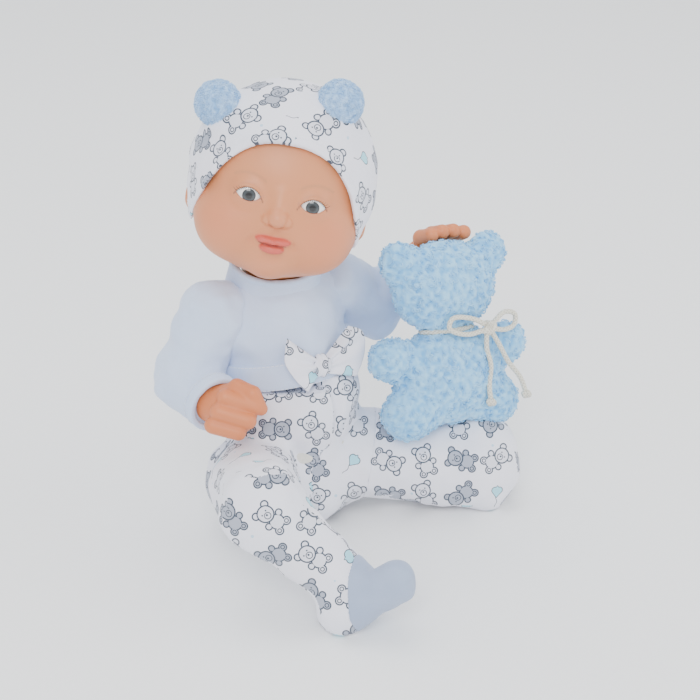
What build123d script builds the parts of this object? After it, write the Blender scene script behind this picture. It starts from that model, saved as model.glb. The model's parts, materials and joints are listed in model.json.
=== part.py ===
from build123d import *
import math
import os

# Soft-bodied baby doll, sitting, with a teddy pillow held in its left arm.
# Millimetres. +Z is up, the doll's torso faces -Y and its left is +X.
# The origin is the middle of the flat patch that the doll sits on.

# ---- driving dimensions -------------------------------------------------
hip_height = 36.0          # hip centres above the floor
hip_spacing = 64.0         # between the two hip centres
hip_ball = 25.0            # radius of the stuffed leg's ball in the seat
seam_step = 0.6            # how far a link lies inside the balls it joins
joint_gap = 0.4            # clearance round each ball and the neck plug
seat_width = 88.0          # widest part of the seat
seat_depth = 74.0
seat_height = 68.0
torso_length = 112.0       # pelvis centre to the neck base
torso_lean = 12.7          # degrees that the torso leans back
waist_half = 35.0
waist_depth_half = 29.0
chest_half = 33.5
chest_depth_half = 27.0
cloth_wall = 2.0           # jersey and print cloth with its seam allowance
shoulder_spacing = 82.0
shoulder_height = 96.5     # along the torso axis
shoulder_ball = 17.0
head_radius = 50.0         # vinyl head, across
head_half_height = 56.0
head_wall = 2.6
cap_thickness = 2.6
pompom_radius = 13.0
neck_radius = 15.0
neck_wall = 2.5
flange_radius = 18.0
eye_radius = 9.5
eye_spacing = 35.0
elbow_radius = 13.5
wrist_radius = 12.0
hand_radius = 13.0
knee_radius_right = 21.0
knee_radius_left = 22.0
ankle_radius = 13.5
toe_radius = 11.0
case_width = 50.0
case_depth = 28.0
case_height = 52.0
case_wall = 2.0
case_bottom = 34.0         # along the torso axis
button_radius = 7.0
button_pad_radius = 15.0
button_travel = 2.0
switch_travel = 3.0
cell_radius = 5.25         # AAA cell
cell_length = 44.5
cell_pitch = 11.2
speaker_radius = 13.5
cord_diameter = 3.0
teddy_half_thickness = 13.0

# ---- places that follow from them ---------------------------------------
lean = math.radians(torso_lean)
pelvis = Vector(0, 0, hip_height + 4)
torso_axis = Vector(0, math.sin(lean), math.cos(lean))
torso = Plane(origin=pelvis, x_dir=(1, 0, 0), z_dir=torso_axis)
neck_base = torso.from_local_coords(Vector(0, 0, torso_length))
head_centre = neck_base + Vector(0, -10.7, head_half_height - 1)
neck_axis = (head_centre - neck_base).normalized()
neck = Plane(origin=neck_base, x_dir=(1, 0, 0), z_dir=neck_axis)

hip_right = Vector(-hip_spacing / 2, -4, hip_height)
hip_left = Vector(hip_spacing / 2, -4, hip_height)
knee_right = Vector(-65, -71, 60)
ankle_right = Vector(-39, -111, 21)
heel_right = Vector(-40, -115, ankle_radius)
toe_right = Vector(-22, -133, 31)
knee_left = Vector(98, -46, knee_radius_left + 0.5)
ankle_left = Vector(106, 7, ankle_radius + 2.5)
heel_left = Vector(109, 19, ankle_radius)
toe_left = Vector(128, 17, toe_radius + 1)

shoulder_right = torso.from_local_coords(Vector(-shoulder_spacing / 2, 0.8, shoulder_height))
shoulder_left = torso.from_local_coords(Vector(shoulder_spacing / 2, 0.8, shoulder_height))
elbow_right = Vector(-59, 24, 97)
wrist_right = Vector(-58, -6, 93)
hand_right = Vector(-55, -19, 94)
elbow_left = Vector(70, 29, 108)
wrist_left = Vector(90, 19, 129)
hand_left = Vector(99, 14, 140)

head_forward = Vector(-0.545, -0.839, 0)
head_up = Vector(0.174, -0.113, 0.978)
pitch = math.radians(8)
face_dir = head_forward * math.cos(pitch) + head_up * math.sin(pitch)
crown_dir = head_up * math.cos(pitch) - head_forward * math.sin(pitch)
head = Plane(origin=head_centre, x_dir=face_dir.cross(crown_dir) * -1, z_dir=crown_dir)

teddy = Plane(origin=(88, -27, 101), x_dir=(0.99, 0, -0.1), z_dir=(0, -0.966, 0.26))

os.makedirs("parts", exist_ok=True)


def save(builder, name):
    builder.part.label = name
    export_step(builder.part, f"parts/{name}.step")


def ball(centre, radius, mode=Mode.ADD, pole=Vector(0, 0, 1)):
    """A ball whose poles lie along the given direction."""
    with Locations(Plane(origin=centre, z_dir=pole)):
        Sphere(radius, mode=mode)


def link(start, end, start_radius, end_radius, mode=Mode.ADD):
    """A tapered tube of stuffing from one centre to the next."""
    axis = Plane(origin=start, z_dir=(end - start).normalized())
    with Locations(axis):
        if abs(start_radius - end_radius) < 0.01:
            Cylinder(start_radius, (end - start).length,
                     align=(Align.CENTER, Align.CENTER, Align.MIN), mode=mode)
        else:
            Cone(start_radius, end_radius, (end - start).length,
                 align=(Align.CENTER, Align.CENTER, Align.MIN), mode=mode)


def limb(points, radii, mode=Mode.ADD, pole=Vector(0, 0, 1)):
    """Balls joined by links that are a little thinner, so each seam is a clean ring."""
    for centre, radius in zip(points, radii):
        ball(centre, radius, mode, pole)
    for i in range(len(points) - 1):
        link(points[i], points[i + 1], radii[i] - seam_step, radii[i + 1] - seam_step, mode)


def round_body(plane, radius, half_height, mode=Mode.ADD):
    """An ellipsoid of revolution about the plane's normal."""
    with BuildSketch(Plane(origin=plane.origin, x_dir=plane.x_dir, z_dir=plane.y_dir * -1)) as half:
        Ellipse(radius, half_height)
        with Locations((-radius, 0)):
            Rectangle(2 * radius, 4 * half_height, mode=Mode.SUBTRACT)
    revolve(half.sketch, axis=Axis(plane.origin, plane.z_dir), revolution_arc=360, mode=mode)


def torso_skin(inset):
    """The stuffed trunk between the seat and the shoulders, inset by the cloth."""
    stations = [(0, waist_half + 2, waist_depth_half + 2), (28, waist_half, waist_depth_half),
                (62, chest_half, waist_depth_half - 1), (88, chest_half, chest_depth_half),
                (102, chest_half - 3, chest_depth_half - 5), (torso_length - 1, 21, 19)]
    sections = []
    for height, half_width, half_depth in stations:
        with BuildSketch(torso.offset(height if height else inset)) as section:
            Ellipse(half_width - inset, half_depth - inset)
        sections.append(section.sketch.face())
    loft(sections=sections)


def at_torso(x, y, z):
    return torso.from_local_coords(Vector(x, y, z))


def torso_box(x, y, z, width, depth, height, mode=Mode.ADD):
    """A box between lowest heights z and z + height, on the torso's own axes."""
    with Locations(Plane(origin=at_torso(x, y, z), x_dir=torso.x_dir, z_dir=torso.z_dir)):
        Box(width, depth, height, align=(Align.CENTER, Align.MIN, Align.MIN), mode=mode)


def torso_rod(x, y, z, radius, length, mode=Mode.ADD):
    """A cylinder that starts at depth y and runs back, square to the torso."""
    with Locations(Plane(origin=at_torso(x, y, z), x_dir=torso.x_dir, z_dir=torso.y_dir)):
        Cylinder(radius, length, align=(Align.CENTER, Align.CENTER, Align.MIN), mode=mode)


def cut_torso_openings():
    """Shoulder, hip and neck room that every torso layer shares."""
    ball(shoulder_right, shoulder_ball + joint_gap, Mode.SUBTRACT)
    ball(shoulder_left, shoulder_ball + joint_gap, Mode.SUBTRACT)
    ball(hip_right, hip_ball + joint_gap, Mode.SUBTRACT)
    ball(hip_left, hip_ball + joint_gap, Mode.SUBTRACT)
    with Locations(neck.offset(-14 - joint_gap)):
        Cylinder(flange_radius + joint_gap, 4 + 2 * joint_gap,
                 align=(Align.CENTER, Align.CENTER, Align.MIN), mode=Mode.SUBTRACT)
        Cylinder(neck_radius + joint_gap, 40,
                 align=(Align.CENTER, Align.CENTER, Align.MIN), mode=Mode.SUBTRACT)
    with Locations(neck.offset(-2)):
        Cylinder(chest_half + 20, 40,
                 align=(Align.CENTER, Align.CENTER, Align.MIN), mode=Mode.SUBTRACT)


# ---- hip swing: the room that a thigh needs over its whole travel ---------
leg_lower = 50.0           # degrees down from the sitting pose
leg_raise_right = 30.0
leg_raise_left = 25.0


def hinge_axis(hip, knee):
    return (knee - hip).cross(Vector(0, 0, 1)).normalized()


def cut_leg_sweep(hip, knee, thigh_radius, raise_angle):
    """Revolve the thigh's own outline about the hip over its travel."""
    axis = hinge_axis(hip, knee)
    forward = (knee - hip).normalized()
    reach = 95
    radius = thigh_radius + joint_gap
    lower_end = forward.rotate(Axis((0, 0, 0), axis), -leg_lower)
    upper_end = forward.rotate(Axis((0, 0, 0), axis), raise_angle)
    for end in (lower_end, upper_end):
        link(hip, hip + end * reach, radius, radius, Mode.SUBTRACT)
    with BuildSketch(Plane(origin=hip, x_dir=lower_end, z_dir=lower_end.cross(axis))) as slab:
        with Locations((reach / 2, 0)):
            Rectangle(reach, 2 * radius)
    revolve(slab.sketch, axis=Axis(hip, axis), revolution_arc=leg_lower + raise_angle,
            mode=Mode.SUBTRACT)


# ---- seat, torso and clothes ------------------------------------------------
seat = Plane(origin=(0, 5, seat_height / 2 - 4), x_dir=(0, 1, 0), z_dir=(1, 0, 0))
waist_height = 22.0        # where the romper seat meets the waistband
bodice_bottom = 42.0
closure_width = 14.0
closure_length = 41.0
collar_height = 10.0
tie_radius = flange_radius + 1.2

case_front = -13.0         # depth of the sound module's front face
case_back = case_front + case_depth
case_top = case_bottom + case_height
case_split = case_front + 13
pad_depth = 4.0
pad_front = case_front - pad_depth - button_travel - 1
pad_height = case_bottom + 13


def cut_legs():
    cut_leg_sweep(hip_right, knee_right, hip_ball - 2, leg_raise_right)
    cut_leg_sweep(hip_left, knee_left, hip_ball - 2, leg_raise_left)


def neck_ring(low, height, outer, inner):
    with Locations(neck.offset(low)):
        Cylinder(outer, height, align=(Align.CENTER, Align.CENTER, Align.MIN))
        Cylinder(inner, height, align=(Align.CENTER, Align.CENTER, Align.MIN), mode=Mode.SUBTRACT)


with BuildPart() as collar:
    neck_ring(1.2 - collar_height, collar_height, neck_radius + 5, neck_radius + joint_gap)
    top_rim = collar.edges().sort_by(Axis(neck_base, neck_axis)).last
    fillet(top_rim, 1.5)

with BuildPart() as neck_tie:
    neck_ring(-8.5, 3, tie_radius, neck_radius + joint_gap + 1)
    with Locations(neck.offset(-7)):
        with Locations((0, tie_radius + 1, 0)):
            Box(4.5, 4, 3)
with BuildPart() as collar_trim:
    add(collar.part)
    add(neck_tie.part, mode=Mode.SUBTRACT)
save(collar_trim, "collar")
save(neck_tie, "neck_tie")

with BuildPart() as romper_seat:
    round_body(seat, seat_height / 2, seat_width / 2)
    round_body(seat, seat_height / 2 - cloth_wall, seat_width / 2 - cloth_wall, Mode.SUBTRACT)
    torso_box(0, -60, waist_height, 200, 120, 60, Mode.SUBTRACT)
    with BuildSketch(Plane.XY) as rest_pad:
        with Locations((0, 5)):
            Ellipse(22, 18)
    extrude(amount=5)
    with Locations((0, 0, -50)):
        Box(400, 400, 50, align=(Align.CENTER, Align.CENTER, Align.MIN), mode=Mode.SUBTRACT)
    cut_torso_openings()
    cut_legs()
save(romper_seat, "romper_seat")

with BuildPart() as torso_stuffing:
    torso_skin(cloth_wall)
    round_body(seat, seat_height / 2 - cloth_wall, seat_width / 2 - cloth_wall)
    add(romper_seat.part, mode=Mode.SUBTRACT)
    with Locations((0, 0, -50)):
        Box(400, 400, 55, align=(Align.CENTER, Align.CENTER, Align.MIN), mode=Mode.SUBTRACT)
    cut_torso_openings()
    cut_legs()
    torso_box(0, case_front, case_bottom, case_width, case_depth, case_height, Mode.SUBTRACT)
    torso_box(0, case_back - 1, case_bottom + 2, case_width - 4, 40, case_height - 4, Mode.SUBTRACT)
    torso_rod(0, pad_front - 0.5, pad_height, button_pad_radius + 0.6,
              case_front - pad_front + 1, Mode.SUBTRACT)
    add(collar.part, mode=Mode.SUBTRACT)
    add(neck_tie.part, mode=Mode.SUBTRACT)
save(torso_stuffing, "torso_stuffing")


def garment_shell(low, high):
    """One band of the outfit, from one torso height to another."""
    torso_skin(0)
    torso_box(0, -60, low - 80, 200, 120, 80, Mode.SUBTRACT)
    torso_box(0, -60, high, 200, 120, 120, Mode.SUBTRACT)
    with BuildPart(mode=Mode.PRIVATE) as core:
        torso_skin(cloth_wall)
    add(core.part, mode=Mode.SUBTRACT)
    cut_torso_openings()
    add(collar.part, mode=Mode.SUBTRACT)
    add(neck_tie.part, mode=Mode.SUBTRACT)


with BuildPart() as waistband:
    garment_shell(waist_height, bodice_bottom)
    cut_legs()
save(waistband, "waistband")

with BuildPart() as bodice:
    garment_shell(bodice_bottom, torso_length)
    torso_box(0, 0, bodice_bottom - 1, closure_width, 60, closure_length + 1, Mode.SUBTRACT)
save(bodice, "bodice")

with BuildPart() as back_closure:
    garment_shell(bodice_bottom, bodice_bottom + closure_length)
    torso_box(-60 - closure_width / 2, -60, 0, 120, 120, 120, Mode.SUBTRACT)
    torso_box(60 + closure_width / 2, -60, 0, 120, 120, 120, Mode.SUBTRACT)
    torso_box(0, -60, 0, 120, 60, 120, Mode.SUBTRACT)
save(back_closure, "back_closure")

# ---- waist bow: two flat cloth wings and the knot that gathers them ----------
bow_height = 47.0
bow_side = 3.0             # the bow sits a little to the left of the middle
bow_wing_length = 27.0
bow_wing_height = 24.0
bow_thickness = 3.0
bow = Plane(origin=at_torso(bow_side, -waist_depth_half - 4, bow_height),
            x_dir=torso.x_dir, z_dir=torso.y_dir * -1)

with BuildPart() as waist_bow_wings:
    for side in (-1, 1):
        with BuildSketch(bow):
            with BuildLine():
                Polyline((side * 3, 3), (side * bow_wing_length, bow_wing_height / 2),
                         (side * bow_wing_length, -bow_wing_height / 2), (side * 3, -3),
                         (side * 3, 3))
            make_face()
        extrude(amount=bow_thickness)
    corners = waist_bow_wings.edges().filter_by(Axis(bow.origin, bow.z_dir))
    fillet(corners.filter_by(lambda e: abs(bow.to_local_coords(e.center()).X) > 10), 4)
save(waist_bow_wings, "waist_bow_wings")

with BuildPart() as waist_bow_knot:
    with Locations(Plane(origin=bow.origin - bow.z_dir * 1.5, x_dir=bow.x_dir, z_dir=bow.z_dir)):
        Box(10, 11, bow_thickness + 4, align=(Align.CENTER, Align.CENTER, Align.MIN))
    fillet(waist_bow_knot.edges().filter_by(Axis(bow.origin, bow.z_dir)), 3)
    add(waist_bow_wings.part, mode=Mode.SUBTRACT)
    add(bodice.part, mode=Mode.SUBTRACT)
save(waist_bow_knot, "waist_bow_knot")

# ---- sound module --------------------------------------------------------------
speaker_height = case_top - speaker_radius - case_wall - 1
post_x = case_width / 2 - case_wall - 2.4
post_heights = (case_bottom + case_wall + 2.4, case_top - case_wall - 2.4)
post_radius = 2.6
screw_radius = 1.1
cell_depth = case_back - case_wall - cell_radius - 0.4
cell_bottom = case_bottom + (case_height - cell_length) / 2
door_half = 1.5 * cell_pitch + 0.8
door_gap = 0.3
door_screw_x = -(case_width / 2 - 5)
door_screw_height = (case_bottom + case_top) / 2
slider_x = case_width / 2 - 4.8
slider_bottom = case_bottom + 24
slider_size = 2.8
board_front = case_split - 2

with BuildPart() as case_front_shell:
    torso_box(0, case_front, case_bottom, case_width, case_split - case_front, case_height)
    torso_box(0, case_front + case_wall, case_bottom + case_wall, case_width - 2 * case_wall,
              case_depth, case_height - 2 * case_wall, Mode.SUBTRACT)
    torso_rod(0, case_front, pad_height, button_radius + joint_gap, case_wall, Mode.SUBTRACT)
    for ring in (0, 4, 8):
        for turn in range(max(1, ring * 2)):
            angle = 2 * math.pi * turn / max(1, ring * 2)
            torso_rod(ring * math.cos(angle), case_front, speaker_height + ring * math.sin(angle),
                      1.0, case_wall, Mode.SUBTRACT)
    for side in (-1, 1):
        for height in post_heights:
            torso_rod(side * post_x, case_front + 1, height, post_radius,
                      case_split - case_front - 1)
            torso_rod(side * post_x, case_front + 3, height, screw_radius, case_depth, Mode.SUBTRACT)
save(case_front_shell, "module_case_front")

with BuildPart() as case_back_shell:
    torso_box(0, case_split, case_bottom, case_width, case_back - case_split, case_height)
    torso_box(0, case_split, case_bottom + case_wall, case_width - 2 * case_wall,
              case_back - case_wall - case_split, case_height - 2 * case_wall, Mode.SUBTRACT)
    for side in (-1, 1):
        for height in post_heights:
            torso_rod(side * post_x, case_split, height, post_radius, case_back - case_split)
            torso_rod(side * post_x, case_split, height, screw_radius, case_depth, Mode.SUBTRACT)
            torso_rod(side * post_x, case_back - 1.6, height, 2.2, 2, Mode.SUBTRACT)
    torso_rod(door_screw_x, case_split, door_screw_height, post_radius, case_back - case_split)
    torso_rod(door_screw_x, case_split + 2, door_screw_height, screw_radius, case_depth, Mode.SUBTRACT)
    torso_box(0, case_back - case_wall, case_bottom + case_wall + 1, 2 * door_half, 5,
              case_height - 2 * case_wall - 2, Mode.SUBTRACT)
    torso_box(-door_half - 2, case_back - case_wall, door_screw_height - 4,
              6.5, 5, 8, Mode.SUBTRACT)
    torso_box(slider_x, case_back - case_wall - 1, slider_bottom - 1, slider_size + 0.6, 5,
              slider_size + switch_travel + 2, Mode.SUBTRACT)
save(case_back_shell, "module_case_back")

with BuildPart() as case_screws:
    for side in (-1, 1):
        for height in post_heights:
            torso_rod(side * post_x, case_front + 5, height, screw_radius - 0.05,
                      case_depth - 6.6)
            torso_rod(side * post_x, case_back - 1.6, height, 2.1, 1.3)
save(case_screws, "case_screws")

with BuildPart() as battery_door:
    torso_box(0, case_back - case_wall, case_bottom + case_wall + 1 + door_gap,
              2 * (door_half - door_gap), case_wall, case_height - 2 * case_wall - 2 - 2 * door_gap)
    torso_box(-door_half - 2, case_back - case_wall, door_screw_height - 4 + door_gap,
              6.5 - 2 * door_gap, case_wall, 8 - 2 * door_gap)
    torso_rod(door_screw_x, case_back - case_wall, door_screw_height, screw_radius, 5, Mode.SUBTRACT)
save(battery_door, "battery_door")

with BuildPart() as battery_door_screw:
    torso_rod(door_screw_x, case_split + 4, door_screw_height, screw_radius - 0.05,
              case_back - case_split - 4)
    torso_rod(door_screw_x, case_back, door_screw_height, 2.1, 1.2)
save(battery_door_screw, "battery_door_screw")

cell_columns = [column * cell_pitch for column in (-1, 0, 1)]
with BuildPart() as battery_cells:
    for x in cell_columns:
        with Locations(Plane(origin=at_torso(x, cell_depth, cell_bottom), z_dir=torso.z_dir)):
            Cylinder(cell_radius, cell_length, align=(Align.CENTER, Align.CENTER, Align.MIN))
save(battery_cells, "battery_cells")

contact_gap = cell_bottom - case_bottom - case_wall
with BuildPart() as battery_contacts:
    for x in cell_columns:
        with Locations(Plane(origin=at_torso(x, cell_depth, case_bottom + case_wall),
                             z_dir=torso.z_dir)):
            Cone(3.4, 2.2, contact_gap, align=(Align.CENTER, Align.CENTER, Align.MIN))
        torso_box(x, cell_depth - 3, cell_bottom + cell_length, 8, 6, contact_gap)
save(battery_contacts, "battery_contacts")

with BuildPart() as circuit_board:
    torso_box(0, board_front, case_bottom + case_wall, 30, 1.2, 24)
save(circuit_board, "circuit_board")

with BuildPart() as tact_switch:
    torso_box(0, board_front - 3, pad_height - 3, 6, 3, 6)
    torso_rod(0, board_front - 4.6, pad_height, 1.7, 1.6)
save(tact_switch, "tact_switch")

with BuildPart() as slide_switch:
    torso_box(slider_x - 0.6, cell_depth, slider_bottom - 3, 4.2, 4, 13)
save(slide_switch, "slide_switch")

with BuildPart() as speaker_frame:
    torso_rod(0, case_front + case_wall, speaker_height, speaker_radius, 3)
    torso_rod(0, case_front + case_wall, speaker_height, speaker_radius - 2, 2.2, Mode.SUBTRACT)
    torso_rod(0, case_front + case_wall, speaker_height, 3.5, 3, Mode.SUBTRACT)
save(speaker_frame, "speaker_frame")

with BuildPart() as speaker_cone:
    cone_plane = Plane(origin=at_torso(0, case_front + case_wall + 0.4, speaker_height),
                       x_dir=torso.x_dir, z_dir=torso.y_dir)
    with Locations(cone_plane):
        Cone(speaker_radius - 2.2, 4, 1.7, align=(Align.CENTER, Align.CENTER, Align.MIN))
    with Locations(cone_plane.offset(-0.4)):
        Cone(speaker_radius - 2.2, 3.4, 1.7, align=(Align.CENTER, Align.CENTER, Align.MIN),
             mode=Mode.SUBTRACT)
save(speaker_cone, "speaker_cone")

with BuildPart() as speaker_magnet:
    torso_rod(0, case_front + case_wall + 3, speaker_height, 7, 3.5)
save(speaker_magnet, "speaker_magnet")

with BuildPart() as speaker_leads:
    for side in (-1, 1):
        start = at_torso(side * 10, board_front - 0.8, case_bottom + case_wall + 21)
        middle = at_torso(side * 10, board_front - 1.5, speaker_height - 6)
        end = at_torso(side * 8.5, case_front + case_wall + 3.8, speaker_height - 3)
        limb([start, middle, end], [0.7, 0.7, 0.7])
save(speaker_leads, "speaker_leads")

flange_front = case_front + case_wall + 0.2
with BuildPart() as tummy_button:
    torso_rod(0, pad_front, pad_height, button_pad_radius, pad_depth)
    fillet(tummy_button.edges(), 1.2)
    torso_rod(0, pad_front + pad_depth - 1, pad_height, button_radius,
              flange_front - pad_front - pad_depth + 1)
    torso_rod(0, flange_front, pad_height, button_radius + 2, 1.2)
    button_back = flange_front + 1.2
    torso_rod(0, button_back, pad_height, 1.5, board_front - 4.6 - button_travel - 0.2 - button_back)
save(tummy_button, "tummy_button")

with BuildPart() as power_switch_knob:
    torso_box(slider_x, cell_depth + 4.2, slider_bottom, slider_size, case_back - cell_depth - 3.2,
              slider_size)
save(power_switch_knob, "power_switch_knob")


# ---- head ------------------------------------------------------------------------
def at_head(x, y, z):
    return head.from_local_coords(Vector(x, y, z))


def head_direction(x, y, z):
    return (at_head(x, y, z) - head_centre).normalized()


eye_depth = -(head_radius * 0.935) + eye_radius - 1.4
ear_radius = 9.0
skull = Plane(origin=head_centre, x_dir=(1, 0, 0), z_dir=neck_axis)
skull_height = (head_centre - neck_base).length
with BuildPart() as head_shell:
    with BuildSketch(Plane(origin=neck_base, x_dir=(1, 0, 0), z_dir=neck.y_dir * -1)) as wall:
        with Locations((0, skull_height)):
            Ellipse(head_radius, head_half_height)
        with Locations((0, 0)):
            Rectangle(2 * neck_radius, 28)
        with Locations((0, -12)):
            Rectangle(2 * flange_radius, 4)
        with Locations((0, skull_height)):
            Ellipse(head_radius - head_wall, head_half_height - head_wall, mode=Mode.SUBTRACT)
        with Locations((0, 4)):
            Rectangle(2 * (neck_radius - neck_wall), 36, mode=Mode.SUBTRACT)
        with Locations((-200, 0)):
            Rectangle(400, 600, mode=Mode.SUBTRACT)
    revolve(wall.sketch, axis=Axis(neck_base, neck_axis))
    for side in (-1, 1):
        ball(at_head(side * (head_radius - 5), 4, -12), ear_radius)
    ball(at_head(0, -head_radius * 0.96, -9), 5.5)
    for side in (-1, 1):
        ball(at_head(side * eye_spacing / 2, eye_depth, 1), eye_radius + 0.1, Mode.SUBTRACT)
save(head_shell, "head_shell")

for side, name in ((-1, "eye_right"), (1, "eye_left")):
    with BuildPart() as eye:
        ball(at_head(side * eye_spacing / 2, eye_depth, 1), eye_radius)
    save(eye, name)

brim = Plane(origin=at_head(0, -42, 30), z_dir=head_direction(0, -0.568, -0.823))
with BuildPart() as cap:
    round_body(skull, head_radius + 0.3 + cap_thickness, head_half_height + 0.3 + cap_thickness)
    round_body(skull, head_radius + 0.3, head_half_height + 0.3, Mode.SUBTRACT)
    with Locations(brim):
        Box(300, 300, 150, align=(Align.CENTER, Align.CENTER, Align.MIN), mode=Mode.SUBTRACT)
    add(head_shell.part, mode=Mode.SUBTRACT)
save(cap, "cap")

pompom_reach = head_half_height + cap_thickness + 2
for direction, name in ((Vector(-33, 9.5, 50), "pompom_right"), (Vector(22.3, -26.5, 50), "pompom_left")):
    with BuildPart() as pompom:
        ball(head_centre + direction.normalized() * pompom_reach, pompom_radius)
        add(cap.part, mode=Mode.SUBTRACT)
        round_body(skull, head_radius + 1, head_half_height + 1, Mode.SUBTRACT)
    save(pompom, name)


# ---- arms: vinyl forearm and hand in a long sleeve --------------------------------
def make_arm(side, shoulder, elbow, wrist, hand, fingers):
    with BuildPart() as arm:
        limb([elbow, wrist], [8.5, 8.0])
        ball(hand, hand_radius)
        for knuckle, tip in fingers:
            limb([knuckle, tip], [4.6, 4.2])
    save(arm, f"arm_{side}")
    with BuildPart() as sleeve:
        ball(shoulder, shoulder_ball)
        link(shoulder, elbow, shoulder_ball - 3.8, elbow_radius - seam_step)
        ball(elbow, elbow_radius)
        link(elbow, wrist, elbow_radius - seam_step, wrist_radius)
        add(arm.part, mode=Mode.SUBTRACT)
    save(sleeve, f"sleeve_{side}")
    with BuildPart() as cuff:
        along = (wrist - elbow).normalized()
        link(wrist, wrist + along * 7, wrist_radius + 1.5, wrist_radius + 1)
        add(arm.part, mode=Mode.SUBTRACT)
    save(cuff, f"cuff_{side}")


thumb_right = (hand_right + Vector(6, -4, 2), hand_right + Vector(11, -9, 6))
make_arm("right", shoulder_right, elbow_right, wrist_right, hand_right, [thumb_right])

finger_places = [-4, 3.5, 11, 18]
fingers_left = [(hand_left + teddy.x_dir * (a - 7) * 0.75 + Vector(0, -3, 8),
                 teddy.from_local_coords(Vector(a, 64, -7))) for a in finger_places]
make_arm("left", shoulder_left, elbow_left, wrist_left, hand_left, fingers_left)


# ---- legs: stuffed cloth inside the romper's footed legs --------------------------
def make_leg(side, hip, knee, ankle, heel, toe, knee_radius):
    points = [knee, ankle, heel, toe]
    radii = [knee_radius, ankle_radius, ankle_radius, toe_radius]
    inner_radii = [radius - cloth_wall for radius in radii]
    thigh = (knee - hip).normalized()
    foot_axis = (toe - heel).normalized()
    shin = (ankle - knee).normalized()
    sole_normal = (shin - foot_axis * shin.dot(foot_axis)).normalized()
    with BuildPart() as stuffing:
        ball(hip, hip_ball - cloth_wall, pole=thigh)
        link(hip, knee, hip_ball - 2 - cloth_wall, knee_radius - cloth_wall - seam_step)
        limb(points, inner_radii, pole=thigh)
    save(stuffing, f"leg_stuffing_{side}")
    with BuildPart() as sole:
        limb([heel, toe], [ankle_radius, toe_radius])
        limb([heel, toe], [ankle_radius - cloth_wall, toe_radius - cloth_wall], Mode.SUBTRACT)
        with Locations(Plane(origin=heel + sole_normal * 3, z_dir=sole_normal * -1)):
            Box(150, 150, 60, align=(Align.CENTER, Align.CENTER, Align.MIN), mode=Mode.SUBTRACT)
        add(stuffing.part, mode=Mode.SUBTRACT)
    save(sole, f"sole_{side}")
    with BuildPart() as romper_leg:
        ball(hip, hip_ball, pole=thigh)
        link(hip, knee, hip_ball - 2, knee_radius - seam_step)
        limb(points, radii, pole=thigh)
        add(stuffing.part, mode=Mode.SUBTRACT)
        add(sole.part, mode=Mode.SUBTRACT)
    save(romper_leg, f"romper_leg_{side}")


make_leg("right", hip_right, knee_right, ankle_right, heel_right, toe_right, knee_radius_right)
make_leg("left", hip_left, knee_left, ankle_left, heel_left, toe_left, knee_radius_left)


# ---- teddy pillow ------------------------------------------------------------------
def at_teddy(a, b, c=0.0):
    return teddy.from_local_coords(Vector(a, b, c))


def cushion(a, b, radius, half_thickness, stretch=0.0):
    """A round or long pad with a soft edge, flat against the pillow's middle plane."""
    middle = Plane(origin=at_teddy(a, b), x_dir=teddy.x_dir, z_dir=teddy.z_dir)
    with BuildPart(mode=Mode.PRIVATE) as pad:
        if stretch:
            with BuildSketch(middle.offset(-half_thickness)) as outline:
                SlotCenterToCenter(stretch, 2 * radius)
            extrude(outline.sketch, amount=2 * half_thickness)
            ends = pad.faces().sort_by(Axis(middle.origin, middle.z_dir))
            fillet(ends[0].edges() + ends[-1].edges(), half_thickness * 0.8)
        else:
            with Locations(middle):
                Cylinder(radius, 2 * half_thickness)
            fillet(pad.edges().filter_by(GeomType.CIRCLE), half_thickness * 0.8)
    add(pad.part)


teddy_neck_height = 9.0
teddy_neck_half = 21.0
teddy_neck_depth = 9.0
with BuildPart() as teddy_pillow:
    cushion(-1.5, 33.5, 27, teddy_half_thickness - 0.5, 9)
    cushion(0, -18, 28, teddy_half_thickness, 8)
    for side in (-1, 1):
        cushion(side * 30, 51, 10.5, 7)
        cushion(side * 39, -4, 13, 9)
        cushion(side * 29, -37, 14.5, 10)
    with BuildSketch(Plane(origin=at_teddy(0, teddy_neck_height - 6), x_dir=teddy.x_dir,
                           z_dir=teddy.y_dir)) as neck_section:
        SlotOverall(2 * teddy_neck_half, 2 * teddy_neck_depth)
    extrude(neck_section.sketch, amount=12)
save(teddy_pillow, "teddy_pillow")

cord_radius = cord_diameter / 2
band_plane = Plane(origin=at_teddy(0, teddy_neck_height), x_dir=teddy.x_dir, z_dir=teddy.y_dir)
with BuildPart() as cord_band:
    with BuildSketch(band_plane.offset(-cord_radius)):
        SlotOverall(2 * (teddy_neck_half + cord_diameter), 2 * (teddy_neck_depth + cord_diameter))
        SlotOverall(2 * teddy_neck_half, 2 * teddy_neck_depth, mode=Mode.SUBTRACT)
    extrude(amount=cord_diameter)
    add(teddy_pillow.part, mode=Mode.SUBTRACT)
save(cord_band, "teddy_cord_band")

bow_depth = teddy_half_thickness + cord_radius + 1.5
knot_place = (19, 8.5)
knot_radius = 5.2
routes = {
    "bow_loop_left": [(16, 11), (7, 15.5), (-6, 17.5), (-9, 11), (3, 6.5), (15.5, 7.6)],
    "bow_loop_right": [(22, 11), (30, 16.5), (38, 14.5), (37, 8), (30, 6), (22.5, 7.6)],
    "bow_tail_left": [(17, 5.2), (16.5, -4), (19, -14), (17, -26), (18, -36)],
    "bow_tail_right": [(21, 5.2), (26, -3), (32, -14), (40, -24), (44, -35)],
}


def corner_radii(points):
    """The largest arc that the two runs at each corner leave room for."""
    radii = []
    for before, corner, after in zip(points, points[1:], points[2:]):
        first, second = corner - before, after - corner
        half_turn = math.radians(first.get_angle(second)) / 2
        radii.append(0.45 * min(first.length, second.length) / math.tan(half_turn))
    return radii


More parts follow.
